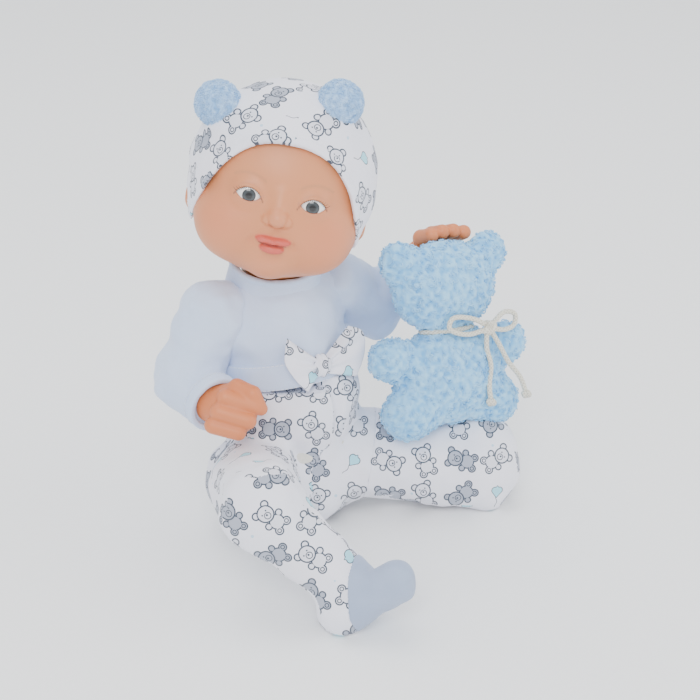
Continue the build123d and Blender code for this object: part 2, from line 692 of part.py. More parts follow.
tubes = {}
for name, route in routes.items():
    points = [at_teddy(a, b, bow_depth) for a, b in route]
    radii = corner_radii(points)
    with BuildPart() as tube:
        with BuildLine() as line:
            FilletPolyline(*points, radius=radii)
        path = line.wires()[0]
        with BuildSketch(Plane(origin=points[0], z_dir=points[1] - points[0])):
            Circle(cord_radius)
        sweep(path=path)
    length = path.length
    print(f"{name}: length {length:.1f}, radii {[round(r, 1) for r in radii]}, "
          f"volume ratio {tube.part.volume / (math.pi * cord_radius ** 2 * length):.4f}")
    tubes[name] = tube
    save(tube, name)

with BuildPart() as bow_knot:
    ball(at_teddy(*knot_place, bow_depth - 0.5), knot_radius)
    for tube in tubes.values():
        add(tube.part, mode=Mode.SUBTRACT)
    add(cord_band.part, mode=Mode.SUBTRACT)
    add(teddy_pillow.part, mode=Mode.SUBTRACT)
save(bow_knot, "bow_knot")

for side in ("left", "right"):
    end = at_teddy(*routes[f"bow_tail_{side}"][-1], bow_depth)
    with BuildPart() as end_knot:
        ball(end, 3.0)
        add(tubes[f"bow_tail_{side}"].part, mode=Mode.SUBTRACT)
    save(end_knot, f"tail_knot_{side}")
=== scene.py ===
import json
import math

import bmesh
import bpy
import numpy as np
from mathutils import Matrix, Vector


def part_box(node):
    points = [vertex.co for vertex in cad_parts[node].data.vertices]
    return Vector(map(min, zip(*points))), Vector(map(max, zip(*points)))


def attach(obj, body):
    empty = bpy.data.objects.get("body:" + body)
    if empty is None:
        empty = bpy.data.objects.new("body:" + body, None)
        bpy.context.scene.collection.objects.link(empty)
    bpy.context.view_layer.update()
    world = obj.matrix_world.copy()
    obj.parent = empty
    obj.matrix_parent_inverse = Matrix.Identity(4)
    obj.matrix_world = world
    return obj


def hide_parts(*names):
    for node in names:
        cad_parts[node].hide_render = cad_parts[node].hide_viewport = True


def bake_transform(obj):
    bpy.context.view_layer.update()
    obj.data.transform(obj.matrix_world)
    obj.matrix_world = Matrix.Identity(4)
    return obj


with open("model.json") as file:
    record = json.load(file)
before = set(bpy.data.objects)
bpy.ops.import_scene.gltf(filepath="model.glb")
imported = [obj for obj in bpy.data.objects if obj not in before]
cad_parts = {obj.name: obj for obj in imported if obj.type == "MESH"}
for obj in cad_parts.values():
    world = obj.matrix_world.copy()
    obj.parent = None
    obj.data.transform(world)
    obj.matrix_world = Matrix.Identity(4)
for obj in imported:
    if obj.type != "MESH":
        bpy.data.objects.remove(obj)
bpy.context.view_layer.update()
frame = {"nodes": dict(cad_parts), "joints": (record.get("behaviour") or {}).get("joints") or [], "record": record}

import openvdb
from mathutils import Matrix, Vector

bl_info = {
    "name": "Soft-bodied baby doll",
    "version": (1, 0, 0),
    "blender": (4, 5, 0),
    "location": "3D View > Sidebar > Baby Doll",
    "description": "Builds the doll's vinyl, clothes, pillow and cord around its frame",
    "category": "Object",
}

MM = 0.001
JOINTS = {joint["name"]: joint for joint in frame["joints"]}


# ---- the doll's skeleton, in millimetres --------------------------------------
def joint_place(name):
    return np.array(JOINTS[name]["pos_m"]) / MM


def unit(v):
    v = np.asarray(v, float)
    return v / np.linalg.norm(v)


def node_middle(node):
    low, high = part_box(node)
    return (np.array(low) + np.array(high)) / 2 / MM


class Axes:
    """A right-handed set of axes at a place; columns are its own x, y and z."""

    def __init__(self, origin, x, z):
        self.origin = np.asarray(origin, float)
        z = unit(z)
        x = unit(np.asarray(x, float) - z * np.dot(x, z))
        self.turn = np.stack([x, np.cross(z, x), z], axis=1)

    def out(self, *local):
        return self.origin + self.turn @ np.asarray(local, float)

    def into(self, points):
        return (points - self.origin) @ self.turn

    def along(self, *local):
        return self.turn @ np.asarray(local, float)


NECK = joint_place("neck_turn")
NECK_AXIS = unit(JOINTS["neck_turn"]["axis"])
HIP = {"right": joint_place("right_hip"), "left": joint_place("left_hip")}
SHOULDER = {"right": joint_place("right_shoulder"), "left": joint_place("left_shoulder")}
PELVIS = np.array([0.0, 0.0, 40.0])
TORSO = Axes(PELVIS, (1, 0, 0), NECK - PELVIS)
HEAD_CENTRE = NECK + 56.0 * NECK_AXIS
FACE_PITCH = math.radians(8)
LOOK = np.array([-0.545, -0.839, 0.0])
CROWN = np.array([0.174, -0.113, 0.978])
HEAD_UP = CROWN * math.cos(FACE_PITCH) - LOOK * math.sin(FACE_PITCH)
FACE = LOOK * math.cos(FACE_PITCH) + CROWN * math.sin(FACE_PITCH)
HEAD = Axes(HEAD_CENTRE, -np.cross(FACE, HEAD_UP), HEAD_UP)
TEDDY = Axes((88, -27, 101), (0.99, 0, -0.1), (0, -0.966, 0.26))

LEG = {
    "right": dict(points=[HIP["right"], (-65, -71, 60), (-39, -111, 21), (-40, -115, 13.5), (-22, -133, 31)],
                  radii=[27, 22.5, 16, 14.3, 12.0]),
    "left": dict(points=[HIP["left"], (98, -46, 22.5), (107, 12, 14.5), (108, 18, 13.5), (128, 17, 12)],
                 radii=[27, 23, 15.5, 13.8, 11.5]),
}
ARM = {
    "right": dict(points=[SHOULDER["right"], (-59, 24, 97), (-58, -6, 93), (-55, -19, 94)],
                  radii=[18, 15.5, 13.5]),
    "left": dict(points=[SHOULDER["left"], (70, 29, 108), (90, 19, 129), (99, 14, 140)],
                 radii=[18, 15.5, 13.5]),
}


# ---- solid modelling with distance fields ---------------------------------------
def length(v):
    return np.sqrt(np.maximum((v * v).sum(axis=-1), 1e-12))


def blend_in(a, b, reach):
    """Union with a fillet about as wide as reach."""
    h = np.clip(0.5 + 0.5 * (b - a) / reach, 0, 1)
    return b + (a - b) * h - reach * h * (1 - h)


def carve(a, b, reach):
    """Takes b out of a, with a rounded edge."""
    return -blend_in(-a, b, reach)


def ball(p, centre, radius):
    return length(p - np.asarray(centre, np.float32)) - radius


def egg(p, centre, radii):
    q = p - np.asarray(centre, np.float32)
    r = np.asarray(radii, np.float32)
    k = length(q / r)
    return k * (k - 1) / np.maximum(length(q / (r * r)), 1e-6)


def rod(p, a, b, start_radius, end_radius):
    a, b = np.asarray(a, np.float32), np.asarray(b, np.float32)
    span = b - a
    h = np.clip(((p - a) @ span) / float(span @ span), 0, 1)
    return length(p - a - h[..., None] * span) - (start_radius + (end_radius - start_radius) * h)


def lattice_noise(p, size, seed):
    """Smooth noise between -1 and 1 with lumps about as large as size."""
    rng = np.random.default_rng(seed)
    n = 24
    table = rng.uniform(-1, 1, (n, n, n)).astype(np.float32)
    q = p / np.asarray(size, np.float32) + 50.0
    i = np.floor(q).astype(np.int32)
    f = q - i
    f = f * f * (3 - 2 * f)
    i %= n
    j = (i + 1) % n
    x0, y0, z0 = i[..., 0], i[..., 1], i[..., 2]
    x1, y1, z1 = j[..., 0], j[..., 1], j[..., 2]
    fx, fy, fz = f[..., 0], f[..., 1], f[..., 2]
    low = ((table[x0, y0, z0] * (1 - fx) + table[x1, y0, z0] * fx) * (1 - fy)
           + (table[x0, y1, z0] * (1 - fx) + table[x1, y1, z0] * fx) * fy)
    high = ((table[x0, y0, z1] * (1 - fx) + table[x1, y0, z1] * fx) * (1 - fy)
            + (table[x0, y1, z1] * (1 - fx) + table[x1, y1, z1] * fx) * fy)
    return low * (1 - fz) + high * fz


def near_route(p, points):
    """How far along a route of straight runs each point lies, and how far from it."""
    best = np.full(p.shape[:-1], 1e9, np.float32)
    along = np.zeros(p.shape[:-1], np.float32)
    run = 0.0
    for a, b in zip(points, points[1:]):
        a, b = np.asarray(a, np.float32), np.asarray(b, np.float32)
        span = b - a
        size = float(np.linalg.norm(span))
        h = np.clip(((p - a) @ span) / size ** 2, 0, 1)
        d = length(p - a - h[..., None] * span)
        closer = d < best
        best = np.where(closer, d, best)
        along = np.where(closer, run + h * size, along)
        run += size
    return along, best


def cast(name, field, low, high, step):
    """Meshes the zero level of a field between two corners, in millimetres."""
    axes = [np.arange(low[i], high[i] + step, step, dtype=np.float32) for i in range(3)]
    values = np.empty([len(a) for a in axes], np.float32)
    plane = np.stack(np.meshgrid(axes[1], axes[2], indexing="ij"), axis=-1)
    slab = max(1, int(400000 / (plane.shape[0] * plane.shape[1])))
    for start in range(0, len(axes[0]), slab):
        xs = axes[0][start:start + slab]
        p = np.empty((len(xs),) + plane.shape[:2] + (3,), np.float32)
        p[..., 0] = xs[:, None, None]
        p[..., 1:] = plane[None]
        values[start:start + len(xs)] = field(p)
    grid = openvdb.FloatGrid(5.0)
    grid.copyFromArray(np.clip(values / step, -4.9, 4.9))
    points, quads = grid.convertToQuads()
    points = points * step + np.array([a[0] for a in axes])
    a, b, c = (points[quads[:, i]] for i in range(3))
    normal = np.cross(b - a, c - a)
    middle = points[quads].mean(axis=1)
    probe = field((middle + 0.5 * step * normal / np.maximum(length(normal), 1e-9)[:, None])
                  .astype(np.float32)[:, None])[:, 0]
    if (probe < 0).mean() > 0.5:
        quads = quads[:, ::-1]
    return new_mesh(name, points, quads)


def label(name):
    return "doll_" + name.lower().replace(" ", "_")


def new_mesh(name, points, faces):
    """A smooth-shaded mesh object from millimetre points."""
    name = label(name)
    mesh = bpy.data.meshes.new(name)
    mesh.from_pydata((np.asarray(points) * MM).tolist(), [], [tuple(map(int, f)) for f in faces])
    mesh.validate()
    mesh.polygons.foreach_set("use_smooth", [True] * len(mesh.polygons))
    mesh.update()
    piece = bpy.data.objects.new(name, mesh)
    bpy.context.collection.objects.link(piece)
    return piece


def vertices_mm(piece):
    flat = np.empty(len(piece.data.vertices) * 3, np.float32)
    piece.data.vertices.foreach_get("co", flat)
    return flat.reshape(-1, 3) / MM


# ---- flat patterns: cloth maps in millimetres ------------------------------------
def corner_data(piece):
    mesh = piece.data
    corners = np.empty(len(mesh.loops), np.int32)
    mesh.loops.foreach_get("vertex_index", corners)
    sizes = np.empty(len(mesh.polygons), np.int32)
    mesh.polygons.foreach_get("loop_total", sizes)
    faces = np.repeat(np.arange(len(sizes)), sizes)
    return corners, faces, sizes


def write_map(piece, uv):
    layer = piece.data.uv_layers.new(name="cloth")
    layer.data.foreach_set("uv", uv.astype(np.float32).ravel())


def map_tube(piece, points, radius, seam=(0, 0, -1), shift=0.0):
    """Unrolls a sleeve, leg or trunk about its centre line."""
    p = vertices_mm(piece)
    along, _ = near_route(p, points)
    points = [np.asarray(q, float) for q in points]
    axis = unit(points[-1] - points[0])
    back = unit(np.asarray(seam, float) - axis * np.dot(seam, axis))
    side = np.cross(axis, back)
    runs = np.cumsum([0] + [np.linalg.norm(b - a) for a, b in zip(points, points[1:])])
    centre = np.stack([np.interp(along, runs, [q[i] for q in points]) for i in range(3)], axis=1)
    q = p - centre
    angle = np.arctan2(q @ side, -(q @ back))
    corners, faces, sizes = corner_data(piece)
    first = np.concatenate([[0], np.cumsum(sizes)[:-1]])
    lead = angle[corners[first]][faces]
    turn = angle[corners] - lead
    turn -= 2 * np.pi * np.round(turn / (2 * np.pi))
    write_map(piece, np.stack([(lead + turn) * radius + shift, along[corners]], axis=1))


def map_charts(piece, main):
    """Lays the cloth flat in a few panels, each facing one way, at true size."""
    mesh = piece.data
    p = vertices_mm(piece)
    out = np.empty(len(p) * 3, np.float32)
    mesh.vertex_normals.foreach_get("vector", out)
    out = out.reshape(-1, 3)
    edges = np.empty(len(mesh.edges) * 2, np.int32)
    mesh.edges.foreach_get("vertices", edges)
    edges = edges.reshape(-1, 2)
    for turn in range(12):
        total = out.copy()
        np.add.at(total, edges[:, 0], out[edges[:, 1]])
        np.add.at(total, edges[:, 1], out[edges[:, 0]])
        out = unit_rows(total)
    back = -unit(main)
    side = unit(np.cross(main, (0, 0, 1)))
    ways = [unit(main), side, -side, back, np.array([0, 0, 1.0]), np.array([0, 0, -1.0])]
    score = np.stack([out @ way for way in ways])
    score[0] += 0.35
    corners, faces, sizes = corner_data(piece)
    first = np.concatenate([[0], np.cumsum(sizes)[:-1]])
    best = np.argmax(score, axis=0)[corners[first]][faces]
    uv = np.zeros((len(corners), 2))
    for i, way in enumerate(ways):
        x = unit(np.cross((0.05, 0.1, 1) if abs(way[2]) < 0.9 else (0, 1, 0), way))
        y = np.cross(way, x)
        mine = best == i
        uv[mine] = (np.stack([p[corners] @ x, p[corners] @ y], axis=1) + 130.0 * i)[mine]
    write_map(piece, uv)


def map_dome(piece, poles):
    """Lays each face flat around the nearest pole, as a cap's cut panels do."""
    p = vertices_mm(piece)
    corners, faces, sizes = corner_data(piece)
    first = np.concatenate([[0], np.cumsum(sizes)[:-1]])
    centre = poles[0][0]
    lead = unit_rows(p[corners[first]] - centre)
    best = np.argmax(np.stack([lead @ unit(pole[1]) for pole in poles]), axis=0)[faces]
    uv = np.zeros((len(corners), 2))
    for i, (middle, pole, up) in enumerate(poles):
        z = unit(pole)
        x = unit(np.cross(up, z))
        y = np.cross(z, x)
        q = unit_rows(p[corners] - middle)
        polar = np.arccos(np.clip(q @ z, -1, 1))
        flat = np.stack([q @ x, q @ y], axis=1)
        flat /= np.maximum(np.linalg.norm(flat, axis=1), 1e-6)[:, None]
        mine = best == i
        uv[mine] = (flat * polar[:, None] * 53.0 + 140.0 * i)[mine]
    write_map(piece, uv)


def unit_rows(v):
    return v / np.maximum(np.linalg.norm(v, axis=1), 1e-9)[:, None]


def paint(piece, name, colours):
    """Stores one colour per vertex: sprayed and brushed vinyl paint, and on the face also painted shade."""
    layer = piece.data.color_attributes.new(name=name, type="FLOAT_COLOR", domain="POINT")
    rgba = np.ones((len(colours), 4), np.float32)
    rgba[:, :3] = colours
    layer.data.foreach_set("color", rgba.ravel())


# ---- materials ---------------------------------------------------------------------
def linear(code):
    """An sRGB hex colour as linear RGBA."""
    values = [int(code[i:i + 2], 16) / 255 for i in (1, 3, 5)]
    return tuple(v / 12.92 if v <= 0.04045 else ((v + 0.055) / 1.055) ** 2.4 for v in values) + (1.0,)


def add_node(tree, kind, links=None, **settings):
    """Adds a node, sets its properties and sockets, and links what feeds it."""
    made = tree.nodes.new(kind)
    for key, value in settings.items():
        if key.startswith("in_"):
            made.inputs[int(key[3:])].default_value = value
        else:
            setattr(made, key, value)
    for socket, source in (links or {}).items():
        tree.links.new(source, made.inputs[socket])
    return made


def new_material(name):
    material = bpy.data.materials.new(name)
    material.use_nodes = True
    tree = material.node_tree
    shader = tree.nodes["Principled BSDF"]
    return material, tree, shader


def calc(tree, operation, a, b=None, c=None):
    links, values = {}, {}
    for slot_number, item in enumerate((a, b, c)):
        if item is None:
            continue
        if isinstance(item, (int, float)):
            values[f"in_{slot_number}"] = item
        else:
            links[slot_number] = item
    return add_node(tree, "ShaderNodeMath", links, operation=operation, **values).outputs[0]


def mix_colour(tree, factor, a, b):
    """Mixes two colours; each may be a socket or a colour value."""
    links, values = {}, {}
    for socket, item in ((0, factor), (6, a), (7, b)):
        if isinstance(item, bpy.types.NodeSocket):
            links[socket] = item
        else:
            values[f"in_{socket}"] = item
    return add_node(tree, "ShaderNodeMix", links, data_type="RGBA", **values).outputs[2]


def bump(tree, height, distance, strength=1.0):
    return add_node(tree, "ShaderNodeBump", {"Height": height}, in_0=strength,
                    in_1=distance * MM).outputs[0]


def object_coords(tree):
    return add_node(tree, "ShaderNodeTexCoord").outputs["Object"]


def cloth_coords(tree):
    return add_node(tree, "ShaderNodeUVMap", uv_map="cloth").outputs[0]


def knit_height(tree, coords, pitch):
    """Rows of knit stitches, drawn at twice their real pitch so that they show."""
    rows = add_node(tree, "ShaderNodeTexWave", {"Vector": coords}, wave_type="BANDS",
                    bands_direction="X", in_1=2 * math.pi / pitch / 20, in_2=0.6, in_3=1.0)
    fuzz = add_node(tree, "ShaderNodeTexNoise", {"Vector": coords}, in_2=0.9, in_3=4.0)
    return calc(tree, "MULTIPLY_ADD", fuzz.outputs[0], 0.7, calc(tree, "MULTIPLY", rows.outputs[0], 0.5))


def jersey(name, code, shade):
    """Cotton jersey, knitted: soft matt, a faint rib along the wale, a little fuzz."""
    material, tree, shader = new_material(name)
    coords = cloth_coords(tree)
    cloud = add_node(tree, "ShaderNodeTexNoise", {"Vector": coords}, in_2=0.045, in_3=3.0).outputs[0]
    tone = mix_colour(tree, cloud, linear(code), linear(shade))
    tree.links.new(tone, shader.inputs["Base Color"])
    tree.links.new(bump(tree, knit_height(tree, coords, 1.3), 0.12, 0.5), shader.inputs["Normal"])
    shader.inputs["Roughness"].default_value = 0.88
    shader.inputs["Sheen Weight"].default_value = 0.25
    shader.inputs["Sheen Roughness"].default_value = 0.5
    return material


def disc(tree, point, x, y, radius):
    """Distance from a printed circle."""
    gap = add_node(tree, "ShaderNodeVectorMath", {0: point}, operation="DISTANCE")
    gap.inputs[1].default_value = (x, y, 0)
    return calc(tree, "SUBTRACT", gap.outputs["Value"], radius)


def least(tree, values):
    total = values[0]
    for value in values[1:]:
        total = calc(tree, "MINIMUM", total, value)
    return total


def most(tree, values):
    total = values[0]
    for value in values[1:]:
        total = calc(tree, "MAXIMUM", total, value)
    return total


def inked(tree, distance, width):
    """1 within a pen line of the given width along a distance of 0."""
    edge = calc(tree, "ABSOLUTE", distance)
    return calc(tree, "LESS_THAN", edge, width / 2)


def printed_cotton(name):
    """Printed cotton interlock: near-white cloth with line-drawn bears and heart balloons."""
    material, tree, shader = new_material(name)
    coords = cloth_coords(tree)
    cell = 21.5
    scaled = add_node(tree, "ShaderNodeVectorMath", {0: coords}, operation="SCALE")
    scaled.inputs["Scale"].default_value = 1 / cell
    corner = add_node(tree, "ShaderNodeVectorMath", {0: scaled.outputs[0]}, operation="FLOOR").outputs[0]
    chance = add_node(tree, "ShaderNodeTexWhiteNoise", {"Vector": corner}, noise_dimensions="3D")
    inside = add_node(tree, "ShaderNodeVectorMath", {0: scaled.outputs[0]}, operation="FRACTION").outputs[0]
    middle = add_node(tree, "ShaderNodeVectorMath", {0: inside}, operation="SUBTRACT")
    middle.inputs[1].default_value = (0.5, 0.5, 0)
    local = add_node(tree, "ShaderNodeVectorMath", {0: middle.outputs[0]}, operation="SCALE")
    local.inputs["Scale"].default_value = cell
    spin = calc(tree, "MULTIPLY", calc(tree, "SUBTRACT", chance.outputs["Value"], 0.5), 4.4)
    turned = add_node(tree, "ShaderNodeVectorRotate", {"Vector": local.outputs[0], "Angle": spin},
                      rotation_type="Z_AXIS").outputs[0]
    second = add_node(tree, "ShaderNodeTexWhiteNoise", {"Vector": corner}, noise_dimensions="4D",
                      in_1=7.3)
    kind = second.outputs["Value"]
    # the bear: head, ears, body, paws and feet
    head = disc(tree, turned, 0, 3.6, 4.4)
    ears = least(tree, [disc(tree, turned, -3.9, 7.0, 1.9), disc(tree, turned, 3.9, 7.0, 1.9)])
    body = disc(tree, turned, 0, -3.6, 3.9)
    paws = least(tree, [disc(tree, turned, x, y, r) for x, y, r in
                        ((-4.6, -1.6, 1.7), (4.6, -1.6, 1.7), (-3.2, -7.4, 2.1), (3.2, -7.4, 2.1))])
    trunk = least(tree, [body, paws])
    crown = least(tree, [head, ears])
    behind = calc(tree, "MULTIPLY", inked(tree, trunk, 0.75), calc(tree, "GREATER_THAN", head, 0.0))
    muzzle = disc(tree, turned, 0, 2.2, 1.7)
    dots = least(tree, [disc(tree, turned, -1.6, 4.6, 0.45), disc(tree, turned, 1.6, 4.6, 0.45),
                        disc(tree, turned, 0, 2.7, 0.6)])
    soles = least(tree, [disc(tree, turned, -3.2, -7.4, 1.0), disc(tree, turned, 3.2, -7.4, 1.0)])
    ink = most(tree, [inked(tree, crown, 0.8), behind, inked(tree, muzzle, 0.5),
                           calc(tree, "LESS_THAN", dots, 0.0), inked(tree, soles, 0.55),
                           inked(tree, disc(tree, turned, 0, 3.6, 4.4), 0.7)])
    bear_on = calc(tree, "LESS_THAN", kind, 0.68)
    bear_fill = calc(tree, "LESS_THAN", least(tree, [crown, trunk]), 0.0)
    # the balloon: a heart on a string
    lobes = least(tree, [disc(tree, turned, -1.45, 2.6, 2.0), disc(tree, turned, 1.45, 2.6, 2.0)])
    parts = add_node(tree, "ShaderNodeSeparateXYZ", {0: turned})
    wide = calc(tree, "ABSOLUTE", parts.outputs[0])
    tip = calc(tree, "SUBTRACT", calc(tree, "ADD", wide, calc(tree, "MULTIPLY", calc(
        tree, "ABSOLUTE", calc(tree, "SUBTRACT", parts.outputs[1], 1.7)), 0.85)), 3.3)
    heart = least(tree, [lobes, tip])
    balloon_on = calc(tree, "SUBTRACT", 1.0, bear_on)
    string_wave = calc(tree, "ABSOLUTE", calc(tree, "SUBTRACT", parts.outputs[0], calc(
        tree, "MULTIPLY", calc(tree, "SINE", parts.outputs[1]), 0.5)))
    string = calc(tree, "MULTIPLY", calc(tree, "LESS_THAN", string_wave, 0.2), calc(
        tree, "COMPARE", parts.outputs[1], -5.0, 3.2))
    # loose dots between the figures
    fine = add_node(tree, "ShaderNodeTexVoronoi", {"Vector": coords}, in_2=0.085, in_8=1.0)
    specks = calc(tree, "LESS_THAN", fine.outputs["Distance"], 0.075)
    clear = calc(tree, "GREATER_THAN", least(tree, [crown, trunk]), 1.5)
    grey = calc(tree, "LESS_THAN", calc(tree, "PINGPONG", kind, 0.1), 0.045)
    shaded = calc(tree, "MULTIPLY", bear_on, calc(tree, "MULTIPLY_ADD", grey, 0.62, 0.2))
    tint = add_node(tree, "ShaderNodeTexNoise", {"Vector": coords}, in_2=0.03, in_3=2.0).outputs[0]
    tone = mix_colour(tree, tint, linear("#e9edf8"), linear("#f3eef7"))
    tone = mix_colour(tree, calc(tree, "MULTIPLY", calc(tree, "MULTIPLY", specks, clear), 0.8), tone,
                      linear("#a9cfe6"))
    tone = mix_colour(tree, calc(tree, "MULTIPLY", shaded, bear_fill),
                      tone, linear("#8f97a8"))
    tone = mix_colour(tree, calc(tree, "MULTIPLY", balloon_on, calc(tree, "LESS_THAN", heart, 0.0)),
                      tone, linear("#9fdcec"))
    lines = calc(tree, "MULTIPLY", bear_on, ink)
    other = calc(tree, "MULTIPLY", balloon_on, calc(tree, "MAXIMUM", inked(tree, heart, 0.5), string))
    tone = mix_colour(tree, calc(tree, "MAXIMUM", lines, other), tone, linear("#3d4756"))
    tree.links.new(tone, shader.inputs["Base Color"])
    tree.links.new(bump(tree, knit_height(tree, coords, 1.1), 0.1, 0.45), shader.inputs["Normal"])
    shader.inputs["Roughness"].default_value = 0.86
    shader.inputs["Sheen Weight"].default_value = 0.2
    shader.inputs["Sheen Roughness"].default_value = 0.5
    return material


def fleece(name, code, shade):
    """Sherpa fleece, curled pile, with painted shade: the colour is darker between the curls and lighter on their
    tops.
    """
    material, tree, shader = new_material(name)
    depth = add_node(tree, "ShaderNodeAttribute", attribute_name="pile").outputs["Fac"]
    coords = object_coords(tree)
    noise = add_node(tree, "ShaderNodeTexNoise", {"Vector": coords}, in_2=900.0, in_3=3.0).outputs[0]
    # Painted shade: the pile height mixes from the darker colour between the curls to the lighter colour on their
    # tops.
    tone = mix_colour(tree, depth, linear(shade), linear(code))
    tree.links.new(tone, shader.inputs["Base Color"])
    tree.links.new(bump(tree, noise, 0.3, 0.6), shader.inputs["Normal"])
    shader.inputs["Roughness"].default_value = 0.95
    shader.inputs["Sheen Weight"].default_value = 0.5
    shader.inputs["Sheen Roughness"].default_value = 0.4
    return material


def vinyl(name):
    """Rotocast soft vinyl: satin, slightly translucent, with sprayed blush."""
    material, tree, shader = new_material(name)
    colour = add_node(tree, "ShaderNodeAttribute", attribute_name="tint").outputs["Color"]
    coords = object_coords(tree)
    noise = add_node(tree, "ShaderNodeTexNoise", {"Vector": coords}, in_2=1500.0, in_3=2.0).outputs[0]
    patch = add_node(tree, "ShaderNodeTexNoise", {"Vector": coords}, in_2=60.0, in_3=3.0).outputs[0]
    warm = mix_colour(tree, calc(tree, "MULTIPLY", patch, 0.14), colour, linear("#c9825f"))
    tree.links.new(warm, shader.inputs["Base Color"])
    tree.links.new(bump(tree, noise, 0.05, 0.35), shader.inputs["Normal"])
    shader.inputs["Roughness"].default_value = 0.46
    shader.inputs["Subsurface Weight"].default_value = 0.12
    shader.inputs["Subsurface Radius"].default_value = (0.006, 0.003, 0.002)
    return material


def eye_acrylic(name, centre, look):
    """Moulded acrylic eye: printed iris under a clear, glossy dome."""
    material, tree, shader = new_material(name)
    coords = object_coords(tree)
    offset = add_node(tree, "ShaderNodeVectorMath", {0: coords}, operation="SUBTRACT")
    offset.inputs[1].default_value = tuple(np.asarray(centre) * MM)
    normal = add_node(tree, "ShaderNodeVectorMath", {0: offset.outputs[0]}, operation="NORMALIZE")
    facing = add_node(tree, "ShaderNodeVectorMath", {0: normal.outputs[0]}, operation="DOT_PRODUCT")
    facing.inputs[1].default_value = tuple(look)
    angle = calc(tree, "ARCCOSINE", facing.outputs["Value"])
    streak = add_node(tree, "ShaderNodeTexNoise", {"Vector": offset.outputs[0]}, in_2=1400.0, in_3=2.0)
    ring = add_node(tree, "ShaderNodeValToRGB", {0: angle})
    ramp = ring.color_ramp
    stops = ((0.0, "#030304"), (0.17, "#060607"), (0.19, "#2c3134"), (0.30, "#3d4448"),
             (0.355, "#25292c"), (0.385, "#141618"), (0.405, "#f1ece8"), (1.0, "#f6f2ee"))
    while len(ramp.elements) < len(stops):
        ramp.elements.new(0.5)
    for element, (place, code) in zip(ramp.elements, stops):
        element.position = place
        element.color = linear(code)
    iris = calc(tree, "MULTIPLY", calc(tree, "COMPARE", angle, 0.27, 0.08), calc(
        tree, "MULTIPLY", streak.outputs[0], 0.6))
    tone = mix_colour(tree, iris, ring.outputs[0], linear("#2c3032"))
    tree.links.new(tone, shader.inputs["Base Color"])
    shader.inputs["Roughness"].default_value = 0.08
    shader.inputs["Coat Weight"].default_value = 0.6
    shader.inputs["Coat Roughness"].default_value = 0.03
    return material


def twisted_cord(name):
    """Braided cotton cord: ivory strands crossing at a real 2.4 mm pitch, with painted shade in the grooves
    between the strands.
    """
    material, tree, shader = new_material(name)
    coords = cloth_coords(tree)
    parts = add_node(tree, "ShaderNodeSeparateXYZ", {0: coords})
    lines = []
    for sign in (1, -1):
        lean = calc(tree, "MULTIPLY_ADD", parts.outputs[0], sign * 1.0, parts.outputs[1])
        lines.append(calc(tree, "SINE", calc(tree, "MULTIPLY", lean, 2 * math.pi / 2.4)))
    braid = calc(tree, "MAXIMUM", lines[0], lines[1])
    # Painted shade: the ivory is darker in the grooves between the strands and lighter on their crests.
    tone = mix_colour(tree, calc(tree, "MULTIPLY_ADD", braid, 0.3, 0.5), linear("#cfc9b4"), linear("#f4f1e4"))
    tree.links.new(tone, shader.inputs["Base Color"])
    tree.links.new(bump(tree, braid, 0.35, 0.9), shader.inputs["Normal"])
    shader.inputs["Roughness"].default_value = 0.85
    shader.inputs["Sheen Weight"].default_value = 0.2
    return material


def thread(name, code):
    """Polyester sewing thread: fine twist, a faint gloss."""
    material, tree, shader = new_material(name)
    coords = object_coords(tree)
    wave = add_node(tree, "ShaderNodeTexWave", {"Vector": coords}, in_1=900.0).outputs[0]
    tree.links.new(mix_colour(tree, wave, linear(code), linear("#ffffff")), shader.inputs["Base Color"])
    shader.inputs["Roughness"].default_value = 0.5
    return material


def moulded(name, code, roughness, metallic=0.0, grain=600.0, depth=0.03):
    """Moulded, drawn or printed hardware with a fine surface grain."""
    material, tree, shader = new_material(name)
    coords = object_coords(tree)
    noise = add_node(tree, "ShaderNodeTexNoise", {"Vector": coords}, in_2=grain, in_3=3.0).outputs[0]
    colour = linear(code)
    darker = tuple(c * 0.8 for c in colour[:3]) + (1.0,)
    tree.links.new(mix_colour(tree, noise, colour, darker), shader.inputs["Base Color"])
    tree.links.new(bump(tree, noise, depth, 0.4), shader.inputs["Normal"])
    shader.inputs["Roughness"].default_value = roughness
    shader.inputs["Metallic"].default_value = metallic
    return material


# ---- repeated small things: geometry node trees ------------------------------------
def socket(tree, name, kind, default=None):
    made = tree.interface.new_socket(name=name, in_out="INPUT", socket_type=kind)
    if default is not None:
        made.default_value = default
    return made.identifier


